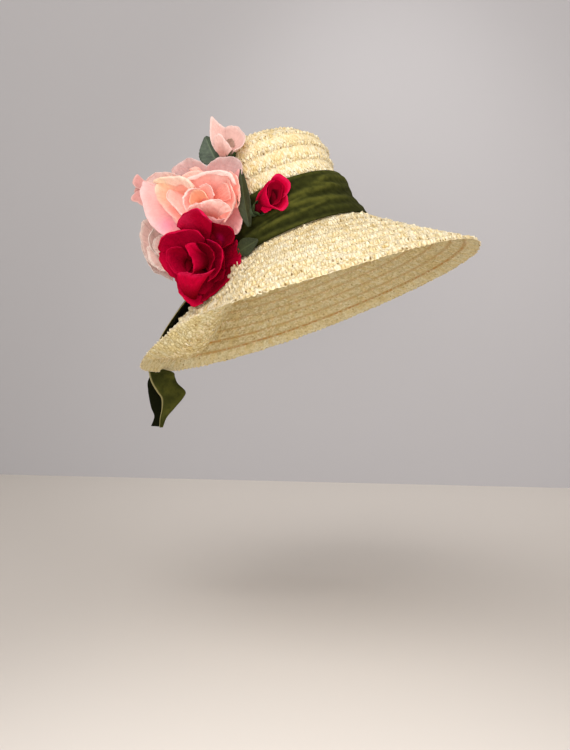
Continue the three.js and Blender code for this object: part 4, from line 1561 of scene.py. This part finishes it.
    def middle(self) -> list[Skin]:
        """The knob and the stem behind it.

        The knob is a sphere drawn out along the axis. The stem is a thin tapered tube, ribbed by
        its wrapping.

        Returns:
            One skin for each.
        """
        dye = colour(self.knob_colour)
        down, turn = np.meshgrid(np.linspace(0, np.pi, 13), np.arange(20) / 20 * TURN, indexing="ij")
        ball = np.stack([self.knob.radius * np.sin(down) * np.cos(turn),
                         self.knob.radius * np.sin(down) * np.sin(turn),
                         self.knob.long * np.cos(down) - self.knob.behind], axis=-1)
        skins = [Skin(ball, closed_round=True, colours=dye + 0 * ball)]
        if self.knob.stem > 0:
            far, turn = np.meshgrid(np.linspace(0, 1, 12), np.arange(12) / 12 * TURN, indexing="ij")
            radius = self.knob.stem_radius * (1 - 0.15 * far) * (1 + 0.05 * np.sin(40 * far))
            tube = np.stack([radius * np.cos(turn), radius * np.sin(turn), -self.knob.stem * far], axis=-1)
            ends = np.stack([tube.mean(axis=1, keepdims=True)[k] + 0 * tube[0] for k in (0, -1)])
            tube = np.concatenate([ends[:1], tube, ends[1:]])
            skins.append(Skin(tube, closed_round=True, colours=dye + 0 * tube))
        return skins

    def lay(self, skins: list[Skin], seat: Seat) -> list[Skin]:
        """Places skins by a seat on the crown.

        Args:
            skins: Skins in the flower's own axes, which are changed.
            seat: The seat.

        Returns:
            The same skins.
        """
        axes, place = seat.matrix()
        for skin in skins:
            skin.points = HAT.place(skin.points @ axes.T + place)
            skin.uv = np.zeros(skin.points.shape[:2] + (2,)) if skin.uv is None else skin.uv
        return skins

    def build(self, material: Material) -> Piece:
        """All petals with their thickness and the knob, placed on the crown.

        Args:
            material: The finish of them all.

        Returns:
            The piece.
        """
        seat = replace(self.seat, **FACING) if self.viewed else self.seat
        skins = [self.petal(row, number) for row in self.rows for number in range(row.count)]
        laid = [self.patch(row, number) for number, row in enumerate(self.patches)]
        skins = self.lay(skins + self.middle(), self.seat) + self.lay(laid, seat)
        cloth = "cloth" if self.slot is Slot.LEAF else "silk"
        piece = build_object(f"{self.node}_{cloth}", skins, 1e-7)
        thicken(piece, self.cloth)
        piece.data.materials.append(material)
        return install(piece, [self.node])


@dataclass(frozen=True)
class Leaf:
    """A leaf between two places on the crown, creased along its rib and pointed at both ends.

    start and end are an angle, a level and a distance off the crown's wall.
    """

    node: str
    start: tuple[float, float, float]
    end: tuple[float, float, float]
    half: float
    arch: float
    fold: float
    turn: float = 0.0
    cloth: float = 0.6
    tip_half: float = 0.8
    belly: float = 0.8
    veins: float = 9.0
    saw: float = 0.05
    teeth: int = 11
    cut: float = 0.02
    columns: int = 25
    lines: int = 46

    def build(self, material: Material) -> Piece:
        """The leaf's width is a sine of its length, and its two halves rise from the rib by fold.

        Args:
            material: Its finish.

        Returns:
            The piece.
        """
        start, end = (HAT.crown(np.radians(a), np.array(lv), off) for a, lv, off in (self.start, self.end))
        along = unit(end - start)
        off = HAT.outward(np.radians(np.array((self.start[0] + self.end[0]) / 2)))
        off = np.array(Matrix.Rotation(np.radians(self.turn), 3, along)) @ off
        across = unit(np.cross(along, off))
        lift = unit(np.cross(across, along))
        s, t = np.meshgrid(np.linspace(-1, 1, self.columns), np.linspace(self.cut, 1 - self.cut, self.lines))
        full = np.sin(np.pi * t ** self.belly)
        saw = 1 + self.saw * np.abs(np.sin(np.pi * self.teeth * t)) * smooth(0.6, 1.0, np.abs(s))
        half = (self.half * full + self.tip_half) * saw
        ribs = np.abs(np.sin(np.pi * (self.veins * t - 1.8 * np.abs(s))))
        side_vein = 0.6 * (1 - smooth(0.0, 0.22, ribs)) * (np.abs(s) < 0.9)
        vein = np.maximum(1 - smooth(0.0, 0.12, np.abs(s)), side_vein)
        rise = self.arch * full + self.fold * (np.abs(s) - 0.5) * full + 0.5 * ribs * full * np.abs(s)
        points = start + (end - start) * t[..., None]
        points = points + across * (half * s)[..., None] + lift * rise[..., None]
        piece = build_object(f"{self.node}_cloth", [Skin(HAT.place(points), numbers={"vein": vein})])
        thicken(piece, self.cloth)
        piece.data.materials.append(material)
        return install(piece, [self.node])


class Shine(Enum):
    """Kinds of lamp."""

    SOFT = "AREA"
    BEAM = "SPOT"


class Lamp(NamedTuple):
    """A lamp: place and target in metres, its watts and its colour.

    width is the side in metres of a soft lamp, or the spread in degrees of a beam.
    """

    name: str
    kind: Shine
    place: tuple[float, float, float]
    target: tuple[float, float, float]
    width: float
    power: float
    code: str = "FFFFFF"


def aimed(place: tuple[float, float, float], ahead: Array) -> Matrix:
    """Where a camera or a lamp stands, with its -Z ahead and its +Y as near to up as can be.

    Args:
        place: Metres.
        ahead: A unit vector.

    Returns:
        Its matrix in the world.
    """
    right = unit(np.cross(ahead, [0, 0, 1]))
    up = np.cross(right, ahead)
    turn = Matrix([[right[k], up[k], -ahead[k]] for k in range(3)])
    return Matrix.Translation(place) @ turn.to_4x4()


@dataclass(frozen=True)
class Studio:
    """A pale floor and wall, soft lights and the camera of the photograph, in metres and degrees.

    skew turns the wall a little away from square to the view, and the beams only brighten a
    place of the stage each, as in the photograph.
    """

    floor: float = -0.46
    wall: float = 1.75
    wall_half: float = 4.0
    wall_height: float = 4.0
    floor_depth: float = 6.0
    skew: float = -0.42
    wall_colour: str = "B0ADAE"
    floor_colour: str = "CAC3BC"
    azimuth: float = -36.3
    pitch: float = -5.4
    eye: tuple[float, float, float] = (-0.5337, -0.7135, -0.0531)
    lens: float = 37.75
    beam_lamp: float = 0.1
    lamps: tuple[Lamp, ...] = (
        Lamp("key", Shine.SOFT, (-1.2, -0.9, 1.7), (0, 0, 0), 1.4, 26, "FFFCF8"),
        Lamp("fill", Shine.SOFT, (0.6, -1.9, 0.4), (0, 0, 0), 1.6, 10, "FBFAFF"),
        Lamp("front", Shine.SOFT, (-1.3, -1.5, -0.1), (0, 0, 0), 1.0, 13),
        Lamp("wall_glow", Shine.BEAM, (0.16, -0.04, 1.2), (0.66, 0.58, -0.15), 56, 26),
        Lamp("floor_glow", Shine.BEAM, (-0.6, -0.8, 0.8), (-0.27, -0.36, -0.46), 44, 55),
    )

    def camera(self) -> None:
        """A camera with the long side of the sensor 36 mm, looking slightly down at the hat."""
        azimuth, pitch = np.radians(self.azimuth), np.radians(self.pitch)
        ahead = np.array([-np.sin(azimuth) * np.cos(pitch), np.cos(azimuth) * np.cos(pitch), np.sin(pitch)])
        data = bpy.data.cameras.new("camera")
        data.lens = self.lens
        data.sensor_width = 36
        data.clip_start = 0.01
        camera = bpy.data.objects.new("camera", data)
        camera.matrix_world = aimed(self.eye, ahead)
        bpy.context.scene.collection.objects.link(camera)
        bpy.context.scene.camera = camera

    def plane(self, name: str, corners: list[tuple[float, float, float]], code: str) -> None:
        """A plain matt sheet of the stage.

        Args:
            name: Its name.
            corners: Its four corners in order.
            code: Its colour.
        """
        mesh = bpy.data.meshes.new(name)
        mesh.from_pydata(corners, [], [(0, 1, 2, 3)])
        material = bpy.data.materials.new(name + "_paint")
        material.use_nodes = True
        surface = material.node_tree.nodes["Principled BSDF"]
        surface.inputs["Base Color"].default_value = linear(code)
        surface.inputs["Roughness"].default_value = 0.9
        surface.inputs["Specular IOR Level"].default_value = 0.1
        mesh.materials.append(material)
        sheet = bpy.data.objects.new(name, mesh)
        bpy.context.scene.collection.objects.link(sheet)

    def stage(self) -> None:
        """The floor, and a wall across the view behind the hat."""
        azimuth = np.radians(self.azimuth)
        ahead = np.array([-np.sin(azimuth), np.cos(azimuth)])
        right = np.array([ahead[1], -ahead[0]])
        middle = np.array(self.eye[:2]) + ahead * self.wall
        ends = [middle + right * k * self.wall_half + ahead * (self.skew * k) for k in (-1, 1)]
        near = [end - ahead * self.floor_depth for end in ends]
        low, high = self.floor, self.floor + self.wall_height
        self.plane("wall", [(*ends[0], low), (*ends[1], low), (*ends[1], high), (*ends[0], high)],
                   self.wall_colour)
        self.plane("floor", [(*near[0], low), (*near[1], low), (*ends[1], low), (*ends[0], low)],
                   self.floor_colour)

    def hang(self, lamp: Lamp) -> None:
        """Hangs a lamp so that it shines at its target.

        Args:
            lamp: The lamp.
        """
        data = bpy.data.lights.new(lamp.name, lamp.kind.value)
        if lamp.kind is Shine.SOFT:
            data.size = lamp.width
        else:
            data.spot_size = np.radians(lamp.width)
            data.spot_blend = 1.0
            data.shadow_soft_size = self.beam_lamp
        data.energy = lamp.power
        data.color = linear(lamp.code)[:3]
        hung = bpy.data.objects.new(lamp.name, data)
        hung.matrix_world = aimed(lamp.place, unit(np.array(lamp.target) - lamp.place))
        bpy.context.scene.collection.objects.link(hung)

    def build(self) -> None:
        """Camera, stage, lights and an even pale surround."""
        self.camera()
        self.stage()
        for lamp in self.lamps:
            self.hang(lamp)
        world = bpy.data.worlds.new("surround")
        world.use_nodes = True
        surround = world.node_tree.nodes["Background"]
        surround.inputs["Color"].default_value = linear("F2F0EE")
        surround.inputs["Strength"].default_value = 0.75
        bpy.context.scene.world = world
        bpy.context.scene.view_settings.view_transform = "Standard"


# Dyes of the cloth, as they show in the photograph: each foot is darker, painted shade, and some
# rows are shaded and lit copies of one dye, painted shade and painted highlight
BLUSH = DyeAndShade("E68E80", "F3B2AE", "EEC2BF")
PALE = DyeAndShade("D4A69B", "E2BFB7", "E9CCC5")
MAUVE = DyeAndShade("BC8E8A", "CFACA9", "D9BDB9")
# The pink silk set darker, painted shade, for the petals low on the rose
PINK_SHADED = DyeAndShade("BE6A6C", "DE9896", "EAB2AE")
CORAL = DyeAndShade("DC7260", "FBB0A0", "FEC6B8")
LIGHT = DyeAndShade("DE7A68", "FCBEB2", "FED3CA")
CREAM = DyeAndShade("E4886A", "FDC6B2", "FDD8C4")
PEACH = DyeAndShade("E07A50", "FEC09A", "FED0B2")
# One crimson silk in three tones, shaded, plain and lit: painted shade and painted highlight
CRIMSON_SHADED = DyeAndShade("400008", "8C001E", "A80028")
MID = DyeAndShade("6A0010", "BC0032", "D20A3E")
CRIMSON_LIT = DyeAndShade("840016", "D00236", "DE1A4E")
FADED = DyeAndShade("AA6E66", "DCB6AC", "EAD4CA")
BUD = DyeAndShade("C48E82", "E0B4AA", "EACAC2")
DUSTY = DyeAndShade("B06E68", "D0948E", "E0B0A8")
DARK = DyeAndShade("9A7462", "B08E7E", "B89A8A")
SEPAL_GREEN = DyeAndShade("1C2614", "2E3E20", "42522C")
# The way that the smaller flowers' own axes face
FACING = {"azimuth": 232, "lift": -5, "roll": -20}


def backing(dye: DyeAndShade) -> tuple[Petals, ...]:
    """Three broad petals round the knob of a big rose, which close it behind the others."""
    return (Petals(0, 78, 34, 58, 76, 0.05, dye, count=3, foot=3, base=4, wave=1, tuck=3, curl=0),)


PINK_ROSE = Flower(
    "pink_rose", Slot.PINK, Seat(170.6, 0.84, 11, 211, 2, 8), Knob(10, 9), "E08A74", backing(CORAL),
    crumple=1.5,
    patches=(
        Patch((-7, 7, 5), ((-16, 37, 18), (-8, 45, 19), (10, 44, 21), (21, 34, 22),
               (29, 20, 22)), -4, 0, MAUVE),
        Patch((6, 1, 5), ((26, 21, 24), (42, 21, 25), (55, 14, 26), (63, 4, 25),
               (58, -9, 23)), -4, 0, MAUVE),
        Patch((-13, 8, 6), ((-51, 45, 14), (-46, 54, 15), (-31, 54, 17), (-18, 47, 18),
               (-5, 34, 18)), -3, 0, PALE),
        Patch((10, -4, 5), ((57, 4, 20), (54, -14, 21), (49, -30, 23), (45, -42, 23),
               (33, -50, 21)), -3, 0, PINK_SHADED),
        Patch((8, -8, 5), ((42, -34, 22), (37, -48, 24), (28, -58, 25), (18, -58, 25),
               (1, -40, 21)), -3, 0, PINK_SHADED),
        Patch((-8, 2, 6), ((-24, -21, 12), (-39, -20, 17), (-50, -12, 21), (-57, 7, 23),
               (-56, 28, 22), (-52, 46, 20), (-47, 56, 17)), -5, -3, BLUSH),
        Patch((-5, -1, 14), ((-24, -18, 26), (-29, -6, 29), (-33, 7, 30), (-35, 21, 30), (-33, 33, 29),
               (-25, 39, 26)), -7, 2, CORAL),
        Patch((5, -3, 14), ((48, 1, 26), (53, -8, 28), (52, -18, 29), (47, -29, 29),
               (38, -38, 27)), -6, 2, CORAL),
        Patch((-3, -3, 15), ((-14, -23, 28), (-18, -12, 32), (-21, 0, 33), (-24, 13, 33),
               (-18, 22, 30)), -7, 4, LIGHT),
        Patch((6, -3, 14), ((1, 20, 31), (12, 17, 34), (27, 11, 36), (39, 5, 37), (49, -3, 37),
               (52, -10, 36), (50, -19, 33)), -6, 11, LIGHT),
        Patch((-3, 3, 14), ((-33, 42, 27), (-23, 39, 31), (-10, 31, 34), (2, 23, 36), (8, 15, 36),
               (9, 8, 33)), -6, 19, CREAM),
        Patch((5, -5, 15), ((45, -7, 31), (45, -19, 34), (43, -31, 35), (36, -39, 35),
               (19, -45, 32)), -8, 3, CORAL),
        Patch((-3, 0, 17), ((13, 2, 32), (3, 7, 34), (-5, 4, 36), (-10, -3, 36),
               (-11, -12, 34)), -6, 5, LIGHT),
        Patch((10, -6, 17), ((36, -5, 28), (41, -11, 30), (40, -19, 31), (37, -27, 30)), -5, 0, CORAL),
        Patch((-1, -5, 17), ((-6, -5, 28), (-1, 3, 30), (7, 4, 31), (14, -2, 30),
               (15, -12, 28)), -5, 0, PEACH),
        Patch((2, -8, 19), ((13, 4, 30), (22, 1, 33), (25, -6, 34), (24, -15, 34)), -5, 0, LIGHT),
        Patch((-13, -17, 16), ((-13, -11, 32), (-5, -10, 35), (5, -13, 37), (13, -20, 37)), 4, 2, LIGHT),
        Patch((5, -29, 16), ((3, -13, 35), (14, -17, 38), (25, -23, 39), (33, -32, 39),
               (33, -40, 35)), 6, 2, LIGHT),
        Patch((-3, -37, 10), ((-1, -20, 23), (7, -29, 27), (15, -38, 28), (26, -40, 28),
               (35, -34, 26)), 4, 0, PINK_SHADED),
    ),
    spots=(
        Spot(-24, 34, 9, 0.75, "FCE0B8"),
        Spot(-44, -3, 10, 0.7, "FB8FAC"),
        # A painted highlight on the right of the heart
        Spot(38, 4, 9, 0.5, "FFDFD8"),
        Spot(-30, 22, 8, 0.5, "FDB48C"),
    ))

RED_ROSE = Flower(
    "red_rose", Slot.RED, Seat(161, 0.18, 14, 201.5, 0, 6), Knob(10, 14), "44000A", backing(CRIMSON_SHADED),
    crumple=1.8,
    patches=(
        Patch((-1, -4, 8), ((40, -25, 19), (31, -34, 21), (14, -38, 23), (-6, -40, 23),
               (-24, -37, 21)), -4, 0, CRIMSON_SHADED),
        Patch((5, 1, 8), ((53, -4, 19), (52, -16, 22), (50, -26, 23), (37, -33, 21)), -4, 2, MID),
        Patch((6, 8, 8), ((37, 26, 27), (51, 14, 31), (61, 5, 33), (61, -4, 33), (53, -8, 31),
               (37, -5, 27)), -4, 3, CRIMSON_SHADED),
        Patch((0, 13, 8), ((6, 39, 37), (17, 43, 41), (30, 42, 43), (42, 38, 44), (46, 28, 43),
               (48, 19, 39)), -4, 4, CRIMSON_LIT),
        Patch((-11, 0, 8), ((-33, 2, 23), (-33, -11, 26), (-31, -25, 27), (-25, -39, 27),
               (-15, -41, 23)), -4, 2, MID),
        Patch((-10, 7, 17), ((-31, 34, 27), (-35, 27, 30), (-35, 16, 31), (-32, 4, 30),
               (-29, -6, 27)), -5, 3, MID),
        Patch((-6, 7, 19), ((-32, 32, 30), (-25, 39, 33), (-13, 41, 35), (1, 37, 36), (15, 30, 36),
               (25, 22, 35), (27, 12, 32)), -6, 5, MID),
        Patch((4, 1, 19), ((28, 11, 32), (38, 1, 34), (42, -10, 35), (38, -19, 35), (24, -26, 32),
               (6, -27, 29)), -6, 3, MID),
        Patch((-17, 8, 19), ((-2, 19, 34), (-10, 24, 36), (-19, 24, 37), (-23, 15, 37), (-23, 4, 36),
               (-19, -7, 34)), -6, 2, MID),
        Patch((-2, 2, 19), ((18, 14, 36), (28, 5, 38), (33, -5, 39), (31, -14, 39),
               (19, -21, 37)), -6, 2, CRIMSON_SHADED),
        Patch((14, -8, 16), ((17, 13, 36), (8, 15, 39), (8, 5, 41), (9, -5, 42), (4, -13, 41),
               (-6, -14, 38)), 6, 2, MID),
        Patch((-30, -32, 17), ((-21, -1, 33), (-9, -9, 38), (3, -18, 40), (15, -23, 40),
               (25, -22, 36)), 6, 3, CRIMSON_LIT),
    ),
    spots=(
        # Painted highlights: a magenta glint on the right lobe, and the lit top of the upper petal
        Spot(36, 8, 4, 0.8, "E0106A"),
        Spot(18, 44, 9, 0.6, "EE2C62"),
    ))

FADED_ROSE = Flower(
    "faded_rose", Slot.FADED, Seat(139, 0.73, 45, 160, 10), Knob(7, 9, stem=54), "8F7A70", viewed=True,
    crumple=2.0,
    patches=(
        Patch((-8, -6, -6), ((1, 17, -10), (-11, 26, -12), (-23, 25, -12), (-36, 23, -10),
               (-39, 13, -8)), -4, 2, FADED),
        Patch((-10, -11, -4), ((-36, 22, -8), (-39, 8, -6), (-37, -7, -4), (-33, -19, -4),
               (-24, -30, -4)), -4, 3, FADED),
        Patch((-7, -14, -4), ((-37, -6, -8), (-32, -22, -8), (-24, -35, -6), (-12, -41, -4),
               (-2, -47, -4)), -4, 3, FADED),
        Patch((-4, -12, 0), ((-6, 12, 4), (-18, 12, 8), (-26, 3, 10), (-26, -9, 10),
               (-18, -20, 8)), -4, 4, FADED),
        Patch((-6, -17, 2), ((-29, -8, 4), (-26, -22, 6), (-18, -33, 8), (-6, -38, 8)), 4, 3, FADED),
        Patch((-4, -13, 6), ((-11, 4, 12), (-19, -3, 14), (-19, -14, 15), (-12, -24, 13)), 5, 2, FADED),
        Patch((-11, -5, -14), ((-3, 17, -22), (-20, 25, -26), (-34, 16, -26), (-37, -3, -26),
               (-29, -22, -24), (-15, -32, -20)), -4, 0, FADED),
    ))

SIDE_BUD = Flower(
    "side_bud", Slot.PINK, Seat(146, 1.1, 46, 155, 26), Knob(4.2, 8, stem=58), "7E7058", viewed=True,
    patches=(
        Patch((-7, 8, 0), ((-10, 17, -6), (-18, 21, -8), (-26, 28, -8), (-29, 18, -4), (-25, 11, 2),
               (-17, 7, 4)), -3, 0, DUSTY),
        Patch((-7, 5, 2), ((-17, 7, 4), (-24, 4, 6), (-30, -4, 6), (-23, -7, 8), (-16, -11, 8),
               (-9, -9, 6)), 3, 0, DUSTY),
        Patch((-8, 8, -4), ((-13, 20, -10), (-24, 19, -14), (-29, 11, -14), (-25, 2, -12),
               (-15, -4, -8)), -3, 0, DUSTY),
    ))

PALE_ROSEBUD = Flower(
    "pale_rosebud", Slot.PINK, Seat(204, 1.14, 6, 254, 62), Knob(4.2, 5), "6B5A45", viewed=True,
    patches=(
        Patch((-3, -1, -4), ((-14, 3, -2), (-19, 14, -4), (-20, 28, -6), (-19, 40, -6), (-12, 34, -8),
               (-4, 28, -8), (4, 25, -8)), -2, 0, BUD),
        Patch((-2, -1, 2), ((-4, 28, -4), (5, 28, 0), (13, 22, 4), (17, 13, 8), (14, 4, 10),
               (5, 0, 8)), -4, 2, BUD),
        Patch((-2, 1, 0), ((-3, 11, 2), (0, 14, 2), (4, 13, 2), (6, 7, 2)), -2, 0, DARK),
        Patch((-6, -5, 2), ((-16, 6, 4), (-14, 15, 9), (-8, 16, 11), (-2, 8, 12), (4, 1, 8)), 3, 1, BUD),
    ))

RED_ROSEBUD = Flower(
    "red_rosebud", Slot.RED, Seat(213, 0.39, 11, 281, 0), Knob(4.2, 5), "5A0012", viewed=True,
    foot_width=9, crumple=0.3,
    patches=(
        Patch((11, 10, -4), ((11, 26, 2), (15, 32, 1), (20, 33, 0), (25, 31, 0), (29, 26, 1),
               (30, 20, 2), (28, 14, 4), (25, 10, 6)), -2, -3, CRIMSON_LIT),
        Patch((16, 15, 2), ((10, 7, 8), (9, 15, 7), (11, 23, 4), (17, 27, 2), (23, 23, 2),
               (23, 14, 4), (20, 5, 7), (13, 1, 9)), -2, 0, CRIMSON_SHADED),
        Patch((8, 5, 1), ((8, 20, 3), (13, 27, 1), (21, 27, 0), (26, 19, 0), (23, 8, 2),
               (14, 1, 5)), 0, 0, CRIMSON_SHADED),
        Patch((11, 9, -4), ((26, 15, 3), (28, 8, 5), (27, 2, 7), (22, -3, 8), (18, -2, 9),
               (11, 1, 11)), -2, -3, CRIMSON_LIT),
        Patch((-2, 6, -4), ((-1, 16, -4), (3, 20, -2), (9, 26, 2), (13, 27, 3), (16, 28, 2)), 2, 0, MID),
        Patch((-1, 5, -2), ((13, 27, 3), (9, 21, 8), (7, 13, 11), (9, 5, 12), (13, -1, 11),
               (18, -3, 9)), 3, -1, MID),
        Patch((-2, 5, -2), ((2, -2, 3), (5, -5, 5), (9, -4, 7), (13, -2, 9)), 2, 0, MID),
    ))

def calyx(node: str, bud: Flower) -> Flower:
    """The green calyx under a bud: five short sepals round a small knob.

    Args:
        node: The calyx's node.
        bud: The bud, which gives it its seat.

    Returns:
        The calyx.
    """
    sepals = Petals(15, 34, 11, 52, 8, 0.6, SEPAL_GREEN, count=5, foot=2.5, base=-8, wave=0, tuck=0, curl=4)
    knob = Knob(4.2, 4, behind=9)
    return Flower(node, Slot.LEAF, bud.seat, knob, "46543A", (sepals,), columns=12, lines=12)


LEAVES = (
    Leaf("leaf_top", (192, 1.09, 4), (191, 1.4, 20), 13, 4, 4, 20),
    Leaf("leaf_long", (202.3, 0.245, 7), (209, 0.925, 7), 7, 3, 1.5),
    Leaf("leaf_small", (190.5, 0.045, 8), (206.8, 0.05, 8), 8, 1.5, 1.5),
    Leaf("leaf_back", (135, 0.02, 14), (137, 0.35, 58), 14, 6, 3),
)

# Wheat straw, bleached: painted cream on what stands out, painted highlight, and greyer brown in its gaps,
# painted shade
STRAW = StrawFinish("wheat_straw", "8A6C3A", "C8AB68", "EAD7A8", "FAEED0", "F8E4B2", 0.7, "C08A3C")
# The same straw underneath, duller and warmer, and set darker than the top, partly painted shade
# under the brim; its seams are sewn with tan thread
UNDERSIDE = StrawFinish(
    "wheat_straw_underside_shaded", "A07A3A", "B4965A", "DACA98", "F0E4BC", "F2E0AC", 0.6, "BC7C14", even=True,
    chip=2.4, seam_width=0.2, speck_share=0.35, roughness=0.75, chip_depth=0.8)
# Cotton velvet, woven with a cut pile: dark face on, with a dusty sheen at a slant; near black in
# its folds and olive on their crests, painted shade and painted highlight
VELVET = VelvetFinish("olive_velvet", "0A0C03", "363815", "5F5E26", "84844E")
# Silk habotai, stiffened with size: matt, with a painted glow, an emission of its own colour, for
# light let through where it is pale
PINK_SILK = PetalFinish("pink_silk", 0.3, 0.05, 0.2)
FADED_SILK = PetalFinish("faded_silk", 0.35, 0.05, 0.12)
# The same silk in a deep dye, which swallows the light
RED_SILK = PetalFinish("crimson_silk", 0.35, 0.0, 0.0, shine=0.03)
# Dyed cotton round the buds
SEPAL_CLOTH = PetalFinish("sepal_cloth", 0.35, 0.0)
# Waxed cotton pressed with veins: dull green with a faint shine
LEAF_CLOTH = LeafFinish("waxed_leaf_cloth", "333F30", "505F4A", "66745C")
# The same waxed cotton set darker, painted shade, for the leaves not named as lit below
SHADED_LEAF_CLOTH = LeafFinish("shaded_leaf_cloth", "22280F", "3A4222", "4A5230")
LIT_LEAVES = ("leaf_top", "leaf_back")


def main() -> None:
    """Builds the pieces in order and dresses them."""
    logging.basicConfig(level=logging.INFO, format="%(name)s: %(message)s")
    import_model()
    Studio().build()
    straw, shaded, velvet, pink, red, faded, green, leaf, shaded_leaf = (finish.build() for finish in (
        STRAW, UNDERSIDE, VELVET, PINK_SILK, RED_SILK, FADED_SILK, SEPAL_CLOTH, LEAF_CLOTH, SHADED_LEAF_CLOTH))
    Crown().build(straw)
    Brim().build(straw, shaded)
    VelvetBand().build(velvet)
    VelvetTail().build(velvet)
    pale_calyx, red_calyx = calyx("pale_calyx", PALE_ROSEBUD), calyx("red_calyx", RED_ROSEBUD)
    for flower, material in ((PINK_ROSE, pink), (RED_ROSE, red), (FADED_ROSE, faded),
                             (SIDE_BUD, pink), (PALE_ROSEBUD, pink), (RED_ROSEBUD, red),
                             (pale_calyx, green), (red_calyx, green)):
        flower.build(material)
    for blade in LEAVES:
        blade.build(leaf if blade.node in LIT_LEAVES else shaded_leaf)


if __name__ == "__main__":
    main()
